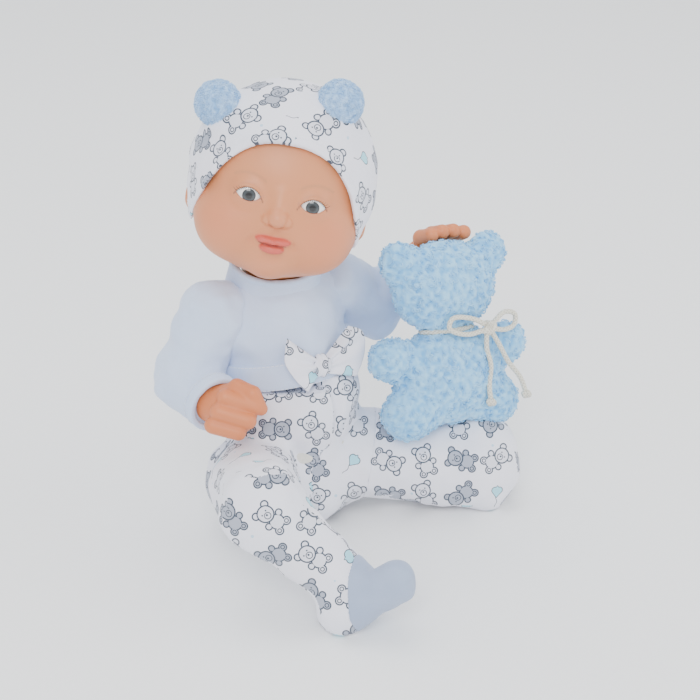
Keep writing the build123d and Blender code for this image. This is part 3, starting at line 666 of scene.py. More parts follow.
def scatter_tree():
    """Grows copies of one small piece over a surface: curls of pile or ends of yarn."""
    tree = bpy.data.node_groups.new("Scatter pile", "GeometryNodeTree")
    tree.interface.new_socket(name="Geometry", in_out="OUTPUT", socket_type="NodeSocketGeometry")
    keys = {"surface": socket(tree, "Surface", "NodeSocketGeometry"),
            "tuft": socket(tree, "Tuft", "NodeSocketObject"),
            "density": socket(tree, "Tufts per square metre", "NodeSocketFloat", 1.0),
            "seed": socket(tree, "Seed", "NodeSocketInt", 1),
            "material": socket(tree, "Material", "NodeSocketMaterial")}
    source = tree.nodes.new("NodeGroupInput")
    spread = add_node(tree, "GeometryNodeDistributePointsOnFaces", {
        "Mesh": source.outputs[0], "Density": source.outputs[2], "Seed": source.outputs[3]})
    tuft = add_node(tree, "GeometryNodeObjectInfo", {"Object": source.outputs[1]})
    spin = add_node(tree, "FunctionNodeRandomValue", data_type="FLOAT_VECTOR")
    spin.inputs[0].default_value = (-0.5, -0.5, -3.14)
    spin.inputs[1].default_value = (0.5, 0.5, 3.14)
    tree.links.new(source.outputs[3], spin.inputs["Seed"])
    turn = add_node(tree, "FunctionNodeRotateEuler", {
        "Rotation": spread.outputs["Rotation"], "Rotate By": spin.outputs[0]}, space="LOCAL")
    size = add_node(tree, "FunctionNodeRandomValue", data_type="FLOAT")
    size.inputs[2].default_value = 0.75
    size.inputs[3].default_value = 1.25
    copies = add_node(tree, "GeometryNodeInstanceOnPoints", {
        "Points": spread.outputs[0], "Instance": tuft.outputs["Geometry"],
        "Rotation": turn.outputs[0], "Scale": size.outputs[1]})
    solid = add_node(tree, "GeometryNodeRealizeInstances", {0: copies.outputs[0]})
    coloured = add_node(tree, "GeometryNodeSetMaterial", {
        "Geometry": solid.outputs[0], "Material": source.outputs[4]})
    add_node(tree, "NodeGroupOutput", {0: coloured.outputs[0]})
    return tree, keys


def stitch_tree():
    """Lays one stitch after another along a seam."""
    tree = bpy.data.node_groups.new("Stitch line", "GeometryNodeTree")
    tree.interface.new_socket(name="Geometry", in_out="OUTPUT", socket_type="NodeSocketGeometry")
    keys = {"seam": socket(tree, "Seam", "NodeSocketGeometry"),
            "pitch": socket(tree, "Stitch pitch", "NodeSocketFloat", 0.0025),
            "length": socket(tree, "Stitch length", "NodeSocketFloat", 0.0016),
            "thick": socket(tree, "Thread thickness", "NodeSocketFloat", 0.0003),
            "material": socket(tree, "Material", "NodeSocketMaterial")}
    source = tree.nodes.new("NodeGroupInput")
    line = add_node(tree, "GeometryNodeMeshToCurve", {0: source.outputs[0]})
    dots = add_node(tree, "GeometryNodeCurveToPoints", {
        "Curve": line.outputs[0], "Length": source.outputs[1]}, mode="LENGTH")
    stitch = add_node(tree, "GeometryNodeMeshCylinder", {
        "Radius": source.outputs[3], "Depth": source.outputs[2]})
    stitch.inputs["Vertices"].default_value = 6
    copies = add_node(tree, "GeometryNodeInstanceOnPoints", {
        "Points": dots.outputs["Points"], "Instance": stitch.outputs[0],
        "Rotation": dots.outputs["Rotation"]})
    solid = add_node(tree, "GeometryNodeRealizeInstances", {0: copies.outputs[0]})
    coloured = add_node(tree, "GeometryNodeSetMaterial", {
        "Geometry": solid.outputs[0], "Material": source.outputs[4]})
    add_node(tree, "NodeGroupOutput", {0: coloured.outputs[0]})
    return tree, keys


def grow(name, base, tree, keys, values):
    """Runs a node tree on an object and keeps its result as a plain mesh object."""
    modifier = base.modifiers.new(name, "NODES")
    modifier.node_group = tree
    for key, value in values.items():
        modifier[keys[key]] = value
    bpy.context.view_layer.update()
    ready = base.evaluated_get(bpy.context.evaluated_depsgraph_get())
    mesh = bpy.data.meshes.new_from_object(ready)
    base.modifiers.remove(modifier)
    made = bpy.data.objects.new(label(name), mesh)
    bpy.context.collection.objects.link(made)
    return made


def sew(name, points, body, settings, code, closed=True):
    """Stitches along points in millimetres that already lie on the cloth."""
    edges = [(i, i + 1) for i in range(len(points) - 1)]
    if closed:
        edges.append((len(points) - 1, 0))
    mesh = bpy.data.meshes.new(name + " line")
    mesh.from_pydata((np.asarray(points) * MM).tolist(), edges, [])
    base = bpy.data.objects.new(name + " line", mesh)
    bpy.context.collection.objects.link(base)
    made = grow(name, base, *stitch_tree(), {
        "pitch": settings.stitch_pitch, "length": settings.stitch_pitch * 0.68,
        "thick": settings.thread_thickness / 2, "material": thread(name + " thread", code)})
    bpy.data.objects.remove(base)
    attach(made, body)
    return made


def tube(name, points, radius, sides=16, ends=True):
    """A round tube in millimetres along a route, mapped around and along."""
    points = np.asarray(points, float)
    count = len(points)
    heading = np.gradient(points, axis=0)
    heading = unit_rows(heading)
    side = unit(np.cross(heading[0], (0.31, 0.52, 0.79)))
    radius = np.broadcast_to(np.asarray(radius, float), (count,))
    runs = np.concatenate([[0], np.cumsum(np.linalg.norm(np.diff(points, axis=0), axis=1))])
    vertices, frames = [], []
    for i in range(count):
        side = unit(side - heading[i] * np.dot(side, heading[i]))
        frames.append((side, np.cross(heading[i], side)))
    for i in range(count):
        for k in range(sides):
            a = 2 * math.pi * k / sides
            vertices.append(points[i] + radius[i] * (math.cos(a) * frames[i][0] + math.sin(a) * frames[i][1]))
    faces, uv = [], []
    for i in range(count - 1):
        for k in range(sides):
            n = (k + 1) % sides
            faces.append((i * sides + k, i * sides + n, (i + 1) * sides + n, (i + 1) * sides + k))
            girth = 2 * math.pi * radius[i] / sides
            uv += [(k * girth, runs[i]), ((k + 1) * girth, runs[i]),
                   ((k + 1) * girth, runs[i + 1]), (k * girth, runs[i + 1])]
    if ends:
        faces.append(tuple(range(sides - 1, -1, -1)))
        faces.append(tuple((count - 1) * sides + k for k in range(sides)))
        uv += [(0, 0)] * (2 * sides)
    made = new_mesh(name, vertices, faces)
    write_map(made, np.array(uv))
    return made


def smooth_route(points, per_span=8):
    """Points on a smooth line that passes through the given ones."""
    p = [np.asarray(q, float) for q in points]
    p = [2 * p[0] - p[1]] + p + [2 * p[-1] - p[-2]]
    out = []
    for i in range(1, len(p) - 2):
        for t in np.arange(per_span) / per_span:
            out.append(0.5 * (2 * p[i] + (p[i + 1] - p[i - 1]) * t
                              + (2 * p[i - 1] - 5 * p[i] + 4 * p[i + 1] - p[i + 2]) * t * t
                              + (3 * p[i] - p[i - 1] - 3 * p[i + 1] + p[i + 2]) * t ** 3))
    return np.array(out + [p[-2]])


def nurbs_route(name, points):
    """The points, in millimetres, of a NURBS curve drawn over a route."""
    curve = bpy.data.curves.new(name, "CURVE")
    curve.dimensions = "3D"
    curve.resolution_u = 4
    spline = curve.splines.new("NURBS")
    control = smooth_route(points, 4)
    spline.points.add(len(control) - 1)
    for point, place in zip(spline.points, control * MM):
        point.co = (*place, 1.0)
    spline.order_u = 4
    spline.use_endpoint_u = True
    carrier = bpy.data.objects.new(name, curve)
    bpy.context.collection.objects.link(carrier)
    bpy.context.view_layer.update()
    mesh = bpy.data.meshes.new_from_object(carrier.evaluated_get(bpy.context.evaluated_depsgraph_get()))
    route = np.array([v.co[:] for v in mesh.vertices]) / MM
    bpy.data.objects.remove(carrier)
    bpy.data.meshes.remove(mesh)
    return route


def cast_in(axes, name, field, low, high, step):
    """As cast, for a field written in a part's own axes."""
    piece = cast(name, field, low, high, step)
    p = vertices_mm(piece) @ axes.turn.T + axes.origin
    piece.data.vertices.foreach_set("co", (p * MM).astype(np.float32).ravel())
    piece.data.update()
    return piece


def dress(piece, material, body, nodes=()):
    """Gives a piece its material, the body it moves with and the nodes it stands for."""
    piece.data.materials.append(material)
    if body:
        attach(piece, body)
    if nodes:
        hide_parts(*nodes)
    return piece


def smooth_step(value, low, high):
    t = np.clip((value - low) / (high - low), 0, 1)
    return t * t * (3 - 2 * t)


def dent(q, centre, reach, depth):
    """A soft hollow; a negative depth makes a soft rise."""
    v = (q - np.asarray(centre, np.float32)) / np.asarray(reach, np.float32)
    return depth * np.exp(-(v * v).sum(axis=-1))


# ---- the head ----------------------------------------------------------------------
EYES = {-1: np.array([-17.3, -36.9, 1.0]), 1: np.array([17.3, -36.9, 1.0])}
BRIM_POINT = np.array([0.0, -42.0, 30.0])
BRIM_SIDE_DROP = 27.0
BRIM_DOWN = unit((0, -0.568, -0.823))
POMPOM = {-1: HEAD.into(node_middle("pompom_right")), 1: HEAD.into(node_middle("pompom_left"))}


def lid_lines(q, side):
    """Heights of the upper and lower lid edges across one eye, and the eye's own x."""
    eye = EYES[side]
    across = (q[..., 0] - eye[0]) * side
    bow = np.clip(np.abs(across - 0.3) / 6.9, 0, 1.6)
    tilt = 0.05 * across
    upper = eye[2] + tilt + 4.0 * (1 - bow ** 2.2)
    lower = eye[2] + tilt - 3.0 * (1 - bow ** 2.0)
    return upper, lower, across


def lips_shape(q):
    f = egg(q, (-4.0, -46.2, -20.6), (5.6, 4.2, 2.2))
    f = blend_in(f, egg(q, (4.0, -46.2, -20.6), (5.6, 4.2, 2.2)), 1.2)
    f = blend_in(f, egg(q, (0, -47.5, -21.2), (2.2, 3.4, 1.9)), 1.0)
    low = egg(q, (0, -45.9, -25.2), (6.6, 4.6, 2.9))
    return np.minimum(f, low)


def face_shape(q):
    f = egg(q, (0, 2, 4), (50, 49, 52))
    f = blend_in(f, egg(q, (0, -8, -17), (42, 37.5, 30)), 12)
    for side in (-1, 1):
        f = blend_in(f, ball(q, (side * 23.5, -24.5, -19.5), 19), 10)
        f = f + dent(q, (side * 17, -46, 3), (12, 10, 8), 1.5)
        f = f + dent(q, (side * 11.0, -44, -22.8), 3.0, 1.3)
    f = blend_in(f, ball(q, (0, -31, -33.5), 11.5), 9)
    f = f + dent(q, (0, -46, -30.5), (8, 6, 3), 1.3)
    f = f + dent(q, (0, -49, -15.5), (2, 5, 3), 0.8)
    f = blend_in(f, rod(q, (0, -43.5, 4), (0, -47.5, -6), 3.4, 4.0), 5)
    f = blend_in(f, egg(q, (0, -49.5, -7.8), (5.4, 5.8, 4.9)), 2.2)
    for side in (-1, 1):
        f = blend_in(f, ball(q, (side * 5.2, -47.4, -9.4), 3.2), 1.4)
        f = carve(f, rod(q, (side * 2.5, -51, -13.2), (side * 2.8, -48, -8.6), 1.05, 1.0), 0.6)
    f = blend_in(f, lips_shape(q), 0.9)
    f = carve(f, egg(q, (0, -50.5, -23.0), (7.0, 2.6, 0.55)), 0.5)
    for side in (-1, 1):
        eye = EYES[side]
        f = blend_in(f, ball(q, eye, 10.5), 3.0)
        upper, lower, across = lid_lines(q, side)
        fold = np.exp(-((q[..., 2] - upper - 2.6) / 0.6) ** 2) * np.clip(1.4 - np.abs(across) / 6, 0, 1)
        f = f + 0.4 * fold * (q[..., 1] < -30)
        hole = np.maximum(q[..., 2] - upper, lower - q[..., 2])
        hole = np.maximum(hole, q[..., 1] - eye[1] - 1)
        hole = np.maximum(hole, np.abs(across) - 7.4)
        f = carve(f, hole, 0.7)
    for side in (-1, 1):
        f = blend_in(f, egg(q, (side * 46.5, 6, -15), (5.5, 8, 9.5)), 3)
        f = carve(f, egg(q, (side * 52.5, 3, -14), (4, 4.5, 5.5)), 1.5)
    neck = HEAD.into(NECK + 12 * NECK_AXIS)
    return blend_in(f, rod(q, (0, 0, -20), neck, 22, 21.3), 6)


def face_paint(q):
    """Sprayed blush, painted lips, lid edges and brows, and painted shade in the nostrils, the mouth groove and
    the lid folds, as linear colours.
    """
    def tone(code):
        return np.array(linear(code)[:3])
    colour = np.tile(tone("#d58a5c"), (len(q), 1))

    def lay(code, amount):
        nonlocal colour
        amount = np.clip(amount, 0, 1)[:, None]
        colour = colour * (1 - amount) + tone(code) * amount

    for side in (-1, 1):
        lay("#dc7c5c", 0.5 * np.exp(-((q - (side * 27, -36, -17)) ** 2).sum(1) / 14.0 ** 2))
        lay("#d98f70", 0.35 * np.exp(-((q - (side * 48, 3, -14)) ** 2).sum(1) / 9.0 ** 2))
    lay("#dc8c6e", 0.3 * np.exp(-((q - (0, -52, -9)) ** 2).sum(1) / 6.0 ** 2))
    lay("#dc9172", 0.3 * np.exp(-((q - (0, -40, -38)) ** 2).sum(1) / 9.0 ** 2))
    front = q[:, 1] < -36
    lips = lips_shape(q)
    lay("#cf5449", 0.95 * smooth_step(-lips, -0.9, 0.1) * front)
    # Painted shade: a dark line along the carved groove between the lips.
    lay("#7b2f2c", 0.85 * np.exp(-((q[:, 2] + 23.0) / 0.5) ** 2) * (np.abs(q[:, 0]) < 7.6) * front
        * smooth_step(-lips, -1.4, -0.6))
    for side in (-1, 1):
        upper, lower, across = lid_lines(q, side)
        near = front & (np.abs(across) < 8.2)
        lay("#3f2b25", 0.9 * np.exp(-((q[:, 2] - upper) / 0.55) ** 2) * near)
        lay("#b0705c", 0.5 * np.exp(-((q[:, 2] - lower) / 0.5) ** 2) * near)
        # Painted shade: a brown line along the carved fold above the upper lid.
        lay("#b9795a", 0.35 * np.exp(-((q[:, 2] - upper - 2.6) / 0.7) ** 2) * near)
        arch = EYES[side][2] + 11.5 - 0.035 * (across - 1) ** 2
        lay("#b07c5a", 0.4 * np.exp(-((q[:, 2] - arch) / 0.9) ** 2) * (np.abs(across - 1) < 9) * front)
        # Painted shade: dark inside the carved nostrils.
        lay("#8a4636", 0.8 * np.exp(-(((q - (side * 2.5, -50.5, -12.4)) / (1.2, 3, 1.0)) ** 2).sum(1)))
    return colour


def cap_skin(q, gap):
    return egg(q, (0, 2, 4), (50, 49, 52)) - gap


def brim_sides(q):
    return np.clip(np.abs(q[..., 0]) / 45, 0, 1.05) ** 3 * (1 - 0.5 * smooth_step(q[..., 1], -15, 30))


def brim_drop(q):
    """How far below the cap's edge each point lies: high on the brow, low over the ears."""
    drop = (q - BRIM_POINT.astype(np.float32)) @ BRIM_DOWN.astype(np.float32)
    return drop - BRIM_SIDE_DROP * brim_sides(q)


def cap_shape(q, folds):
    drop = brim_drop(q)
    flare = smooth_step(drop, -16, 0)
    outer = cap_skin(q, 3.3)
    for side in (-1, 1):
        c = POMPOM[side]
        outer = blend_in(outer, rod(q, 0.5 * c, 0.84 * c, 22, 9), 15)
    wave = lattice_noise(q, (19, 19, 11), 3) * folds + lattice_noise(q, (7, 7, 6), 4) * folds * 0.25
    outer = outer - 1.3 * flare - 0.45 * smooth_step(drop, -6.6, -6.0) - wave
    inner = cap_skin(q, 0.7) - 0.9 * flare - wave * flare * 0.5
    f = np.maximum(outer, -inner)
    return carve(f, -drop, 1.0)


# ---- clothes ---------------------------------------------------------------------
WAIST_TOP, WAIST_LOW = 65.0, 49.5
FRONT_PANEL = np.array([-0.49, -0.76, 0.42])    # the way the print's largest panel faces
CUT = {side: dict(at=np.array(LEG[side]["points"][0], float) + 13 * unit(
    np.array(LEG[side]["points"][1], float) - LEG[side]["points"][0]), way=unit(
    np.array(LEG[side]["points"][1], float) - LEG[side]["points"][0])) for side in LEG}


def trunk_shape(q):
    """The dressed chest and belly above the legs, in the torso's own axes."""
    f = egg(q, (0, 1.5, 78), (37.5, 30.5, 34))
    f = blend_in(f, egg(q, (0, 0, 46), (37.0, 31.5, 40)), 12)
    f = blend_in(f, rod(q, (-32, 1.5, 94), (32, 1.5, 94), 17, 17), 12)
    return blend_in(f, rod(q, (0, 1, 92), (0, 0, 108), 24, 21.5), 10)


def bodice_shape(q, folds):
    wave = lattice_noise(q, (15, 15, 11), 11) * folds + lattice_noise(q, (6, 6, 5), 12) * folds * 0.3
    gather = np.exp(-((q[..., 2] - WAIST_TOP) / 9) ** 2)
    f = trunk_shape(q) - wave * 1.1 - 1.2 * gather
    f = np.maximum(f, WAIST_TOP - 4 - q[..., 2])
    return np.maximum(f, q[..., 2] - 108.5)


def waistband_shape(q):
    centre = 0.5 * (WAIST_TOP + WAIST_LOW)
    half = 0.5 * (WAIST_TOP - WAIST_LOW)
    puff = 1 - np.clip(np.abs(q[..., 2] - centre) / half, 0, 1) ** 3
    f = trunk_shape(q) - 1.5 - 1.3 * puff - lattice_noise(q, (5, 5, 16), 13) * 0.35
    return carve(f, half - np.abs(q[..., 2] - centre), 1.6)


def romper_shape(p, folds):
    """The printed romper, seat and legs together, in world axes."""
    q = TORSO.into(p)
    f = egg(p, (0, 5, 30), (48.5, 39, 35))
    f = blend_in(f, egg(q, (0, -2, 33), (41, 35.5, 40)), 10)
    wave = lattice_noise(p, (17, 17, 17), 21) * folds * 1.5 + lattice_noise(p, (8, 8, 8), 22) * folds * 0.5
    for side in LEG:
        points, radii = LEG[side]["points"], LEG[side]["radii"]
        limb = rod(p, points[0], points[1], radii[0], radii[1])
        for i in range(1, len(points) - 1):
            limb = blend_in(limb, rod(p, points[i], points[i + 1], radii[i], radii[i + 1]), 7)
        f = blend_in(f, limb, 9)
    f = blend_in(f, egg(p, (104, -39, 29), (24, 22, 27)), 8)
    f = f - wave
    top = q[..., 2] - WAIST_LOW - 1.5
    f = carve(f, -top, 2.0)
    return carve(f, p[..., 2] - 0.3, 1.2)


def leg_side(p, side):
    return (p - CUT[side]["at"].astype(np.float32)) @ CUT[side]["way"].astype(np.float32)


def sole_plane(side):
    points = [np.array(q, float) for q in LEG[side]["points"]]
    foot = unit(points[4] - points[3])
    shin = unit(points[2] - points[1])
    down = unit(shin - foot * np.dot(shin, foot))
    return points[3] + 7.5 * foot, unit(foot + 0.45 * down)


def sleeve_shape(p, side, folds):
    points, radii = ARM[side]["points"], ARM[side]["radii"]
    f = rod(p, points[0], points[1], radii[0] + 1.5, radii[1] + 2.2)
    stop = np.array(points[2], float) - 3 * unit(np.array(points[2], float) - points[1])
    f = blend_in(f, rod(p, points[1], stop, radii[1] + 2.2, radii[2] + 2.0), 6)
    wave = lattice_noise(p, (13, 13, 13), 31) * folds * 1.3 + lattice_noise(p, (6, 6, 6), 32) * folds * 0.5
    f = f - wave
    way = unit(np.array(points[2], float) - points[1])
    end = (p - stop.astype(np.float32)) @ way.astype(np.float32)
    near = length(p - stop.astype(np.float32)) < 30
    return np.where(near, carve(f, 3.0 - end, 2.0), f)


CAMERA_RIGHT = np.array([0.8387, -0.5446, 0.0])
CAMERA_UP = np.array([0.2302, 0.3545, 0.9063])
FIST = Axes((-55, -19, 94), CAMERA_RIGHT, np.cross(CAMERA_RIGHT, CAMERA_UP))


def fist_shape(p):
    q = FIST.into(p)
    f = egg(q, (1.5, -0.5, -1), (14.0, 15.0, 12.5))
    rolls = (((-2, 6.5, 8.5), (14.5, 1.5, 6.5), 5.0), ((-5.5, -1.5, 9), (10.5, -6.5, 8.0), 5.1),
             ((-9, -9, 7), (5, -13, 6.5), 4.8))
    for start, end, radius in rolls:
        f = blend_in(f, rod(q, start, end, radius, radius * 0.93), 1.3)
    f = blend_in(f, rod(q, (4, 12, 3), (13, 8.5, 7.5), 5.0, 4.4), 2.0)
    f = blend_in(f, rod(q, (13, 8.5, 7.5), (17.5, 0, 5.0), 4.4, 3.7), 1.2)
    wrist = np.array(ARM["right"]["points"][2], float)
    elbow = np.array(ARM["right"]["points"][1], float)
    return blend_in(f, rod(p, elbow, wrist, 10.5, 11.5), 5)


def open_hand_shape(p):
    f = rod(p, ARM["left"]["points"][1], ARM["left"]["points"][2], 10.5, 11.0)
    palm = np.array((99, 14, 140), float)
    f = blend_in(f, rod(p, ARM["left"]["points"][2], palm, 11.0, 11.5), 5)
    for a, lift in ((-4.5, 0), (3.2, 1.2), (11, 1.0), (18.5, -0.6)):
        knuckle = TEDDY.out(a + 1, 62 + lift, -17)
        tip = TEDDY.out(a, 64.5 + lift, -4.5)
        f = blend_in(f, rod(p, palm + 0.45 * (knuckle - palm), knuckle, 5.6, 4.9), 2.2)
        f = blend_in(f, rod(p, knuckle, tip, 4.9, 4.3), 1.0)
    return f


def skin_paint(piece, code="#d27a48"):
    paint(piece, "tint", np.tile(np.array(linear(code)[:3]), (len(piece.data.vertices), 1)))


def ring(centre, way, radius, count=64, start=(0, 0, 1)):
    way = unit(way)
    x = unit(np.cross(way, np.asarray(start) + 0.01))
    y = np.cross(way, x)
    a = np.linspace(0, 2 * math.pi, count, endpoint=False)
    return np.asarray(centre) + radius * (np.cos(a)[:, None] * x + np.sin(a)[:, None] * y)


# ---- the teddy pillow --------------------------------------------------------------
def pillow_shape(q):
    f = egg(q, (-1, 34, 0), (34.5, 27, 17))
    f = blend_in(f, egg(q, (0, -17.5, 0), (36.5, 30, 18)), 8)
    for side in (-1, 1):
        f = blend_in(f, egg(q, (side * 31, 51, 0), (12.5, 12, 9)), 6)
        f = blend_in(f, egg(q, (side * 40, -4, 0), (14.5, 13.5, 11)), 7)
        f = blend_in(f, egg(q, (side * 29.5, -38, 0), (17.5, 15.5, 13)), 8)
    return f + 1.6 * np.exp(-((q[..., 1] - 9) / 3.0) ** 2)


def pile_height(q):
    return lattice_noise(q, (2.4, 2.4, 2.4), 41) * 0.62 + lattice_noise(q, (1.5, 1.5, 1.5), 42) * 0.38


BOW_DEPTH = 16.0
KNOT = (19.0, 8.5)
BOW = {
    "bow_loop_left": ([(16, 11), (7, 15.5), (-6, 17.5), (-9, 11), (3, 6.5), (15.5, 7.6)], 0.0530),
    "bow_loop_right": ([(22, 11), (30, 16.5), (38, 14.5), (37, 8), (30, 6), (22.5, 7.6)], 0.0371),
    "bow_tail_left": ([(17, 5.2), (16.5, -4), (19, -14), (17, -26), (18, -36)], 0.0415),
    "bow_tail_right": ([(21, 5.2), (26, -3), (32, -14), (40, -24), (44, -35)], 0.0465),
}


# ---- the add-on --------------------------------------------------------------------
def size_property(name, default, description, low=0.0, high=0.1):
    return bpy.props.FloatProperty(name=name, default=default, min=low, max=high, precision=5,
                                   unit="LENGTH", description=description)


def colour_property(name, code, description):
    return bpy.props.StringProperty(name=name, default=code, description=description)


class BabyDollSettings(bpy.types.PropertyGroup):
    fine_step: size_property("Fine mesh step", 0.0007, "Mesh size on the face and hands", 0.0004)
    cloth_step: size_property("Cloth mesh step", 0.001, "Mesh size on the clothes", 0.0005)
    pile_step: size_property("Pile mesh step", 0.0008, "Mesh size on the pillow", 0.0005)
    fold_depth: size_property("Fold depth", 0.0016, "Depth of the folds in the clothes")
    pile_depth: size_property("Pile depth", 0.0013, "Depth of the pillow's curled pile")
    cord_thickness: size_property("Cord thickness", 0.003, "Diameter of the pillow's cord")
    stitch_pitch: size_property("Stitch pitch", 0.0026, "Distance from one stitch to the next", 0.0005)
    thread_thickness: size_property("Thread thickness", 0.0004, "Diameter of the sewing thread")
    jersey_colour: colour_property("Jersey", "#d0ddf4", "Colour of the blue jersey, as sRGB hex")
    jersey_shade: colour_property("Jersey shade", "#bfd0ee", "Darker tone of the blue jersey")
    sole_colour: colour_property("Sole", "#aab8d2", "Colour of the jersey soles")
    fleece_colour: colour_property("Fleece", "#9bd4f6", "Colour of the pillow's curls")
    # Painted shade: the darker colour laid between the curls of the pillow's pile.
    fleece_painted_shade: colour_property("Fleece shade", "#6db4e6", "Colour between the curls")
    pompom_colour: colour_property("Pompoms", "#b3d6f7", "Colour of the pompoms")
    pile_seed: bpy.props.IntProperty(name="Pile seed", default=7, min=1,
                                     description="Random seed of the scattered pile")


def store(name, make, *words):
    """One material of each name, made the first time it is asked for."""
    return bpy.data.materials.get(name) or make(name, *words)


def blue(settings):
    return store("Cotton jersey, pale blue", jersey, settings.jersey_colour, settings.jersey_shade)


def printed():
    return store("Printed cotton interlock", printed_cotton)


def skin():
    return store("Soft vinyl, painted", vinyl)


class DollOperator:
    bl_options = {"REGISTER", "UNDO"}

    def execute(self, context):
        self.build(context.scene.baby_doll)
        return {"FINISHED"}


class BABYDOLL_OT_head(DollOperator, bpy.types.Operator):
    """Builds the painted vinyl head with its two acrylic eyes and their lashes"""
    bl_idname = "baby_doll.head"
    bl_label = "Head"

    def build(self, s):
        head = cast_in(HEAD, "Head", face_shape, (-54, -58, -66), (54, 54, 56), s.fine_step / MM)
        paint(head, "tint", face_paint(HEAD.into(vertices_mm(head))))
        dress(head, skin(), "head", ["head_shell"])
        for side, word in ((-1, "right"), (1, "left")):
            centre = HEAD.out(*EYES[side])
            mesh = bpy.data.meshes.new("Eye " + word)
            eye = bpy.data.objects.new(label("Eye " + word), mesh)
            bpy.context.collection.objects.link(eye)
            ball_mesh = bmesh.new()
            bmesh.ops.create_uvsphere(ball_mesh, u_segments=48, v_segments=32, radius=9.6 * MM)
            bmesh.ops.translate(ball_mesh, verts=ball_mesh.verts, vec=Vector(centre * MM))
            ball_mesh.to_mesh(mesh)
            ball_mesh.free()
            mesh.polygons.foreach_set("use_smooth", [True] * len(mesh.polygons))
            look = unit(HEAD.along(0, -1, -0.02))
            dress(eye, eye_acrylic("Acrylic eye, " + word, centre, look), "head", ["eye_" + word])
            self.lashes(word, side)

    def lashes(self, word, side):
        """Short lashes along one upper lid, longer towards the outer corner."""
        eye = EYES[side]
        parts = []
        for i in range(13):
            across = -4.5 + i * 0.9
            bow = abs(across - 0.3) / 6.9
            z = eye[2] + 0.05 * across + 4.0 * (1 - bow ** 2.2) - 0.1
            x = eye[0] + side * across
            y = eye[1] - math.sqrt(max(10.5 ** 2 - (x - eye[0]) ** 2 - (z - eye[2]) ** 2, 1)) - 0.1
            reach = 1.7 + 0.22 * max(across, 0)
            lean = side * (0.1 + 0.13 * across)
            route = [HEAD.out(x + lean * reach * t, y - 1.2 * t * (1.4 - t),
                              z + reach * 0.55 * t * t + 0.15 * t)
                     for t in np.linspace(0, 1, 5)]
            parts.append(tube(f"Lash {word} {i}", route, [0.16, 0.15, 0.12, 0.08, 0.03], 5))
        whole = parts[0]
        with bpy.context.temp_override(active_object=whole, selected_editable_objects=parts,
                                       selected_objects=parts):
            bpy.ops.object.join()
        whole.name = label("Lashes " + word)
        dress(whole, store("Lash fibre, dark brown", moulded, "#2a1c18", 0.6), "head")


class BABYDOLL_OT_cap(DollOperator, bpy.types.Operator):
    """Builds the printed cap with its turned-in hem and its two pompoms"""
    bl_idname = "baby_doll.cap"
    bl_label = "Cap and pompoms"

    def build(self, s):
        folds = s.fold_depth / MM * 0.8
        cap = cast_in(HEAD, "Cap", lambda q: cap_shape(q, folds), (-60, -58, -42), (60, 60, 72),
                      s.cloth_step / MM * 0.85)
        poles = [(HEAD_CENTRE, HEAD.along(side * 0.75, -0.45, 0.55), HEAD.along(0, 0, 1)) for side in (-1, 1)]
        poles.append((HEAD_CENTRE, HEAD.along(0, 1, 0.2), HEAD.along(0, 0, 1)))
        map_dome(cap, poles)
        dress(cap, printed(), "head", ["cap"])
        hem = 5.2
        turn = np.linspace(0, 2 * math.pi, 150, endpoint=False)
        way = np.stack([np.sin(turn), -np.cos(turn)], axis=1)
        line = np.zeros((len(turn), 3))
        reach = np.full(len(turn), 50.0)
        for attempt in range(6):
            line[:, :2] = way * reach[:, None] + (0, 2)
            line[:, 2] = BRIM_POINT[2] + (BRIM_DOWN[1] * (line[:, 1] - BRIM_POINT[1]) + hem
                                          - BRIM_SIDE_DROP * brim_sides(line)) / -BRIM_DOWN[2]
            low, high = np.full(len(turn), 25.0), np.full(len(turn), 75.0)
            for step in range(22):
                mid = 0.5 * (low + high)
                line[:, :2] = way * mid[:, None] + (0, 2)
                inside = cap_skin(line, 2.0) < 0
                inside |= cap_shape(line.astype(np.float32), folds) < 0
                low, high = np.where(inside, mid, low), np.where(inside, high, mid)
            reach = low + 0.1
        line = [HEAD.out(*q) for q in line]
        sew("Cap hem stitches", line, "head", s, "#d5deee")
        # Painted shade: #7fb2e2 is the darker colour laid between the yarn ends of the pompoms.
        yarn = store("Pompom yarn, pale blue", fleece, s.pompom_colour, "#7fb2e2")
        for side, word in ((-1, "right"), (1, "left")):
            c = POMPOM[side]

            def fluff(q, c=c, side=side):
                return ball(q, c, 12.6) - lattice_noise(q, (2.0, 2.0, 2.0), 50 + side) * 0.55
            low, high = c - 15, c + 15
            pom = cast_in(HEAD, "Pompom " + word, fluff, low, high, 0.7)
            local = HEAD.into(vertices_mm(pom)).astype(np.float32)
            # These pile heights steer the painted shade: low places get the darker colour, high places the
            # lighter.
            heights = lattice_noise(local, (2.0, 2.0, 2.0), 50 + side)
            layer = pom.data.attributes.new("pile", "FLOAT", "POINT")
            layer.data.foreach_set("value", np.clip(0.6 + 0.5 * heights, 0, 1).astype(np.float32))
            dress(pom, yarn, "head", ["pompom_" + word])
            tufts = curl_piece("Yarn end", 0.55, 0.2, 5, 4)
            made = grow("Pompom ends " + word, pom, *scatter_tree(), {
                "tuft": tufts, "density": 1100000.0, "seed": s.pile_seed + side, "material": yarn})
            bpy.data.objects.remove(tufts)
            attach(made, "head")


def curl_piece(name, radius, thick, steps, sides):
    """One open loop of yarn or pile, standing on its ends."""
    route = [(radius * math.cos(a), radius * 0.25 * math.sin(2 * a), radius * (math.sin(a) - 0.1))
             for a in np.linspace(0, math.pi, steps)]
    return tube(name, route, thick, sides, ends=False)


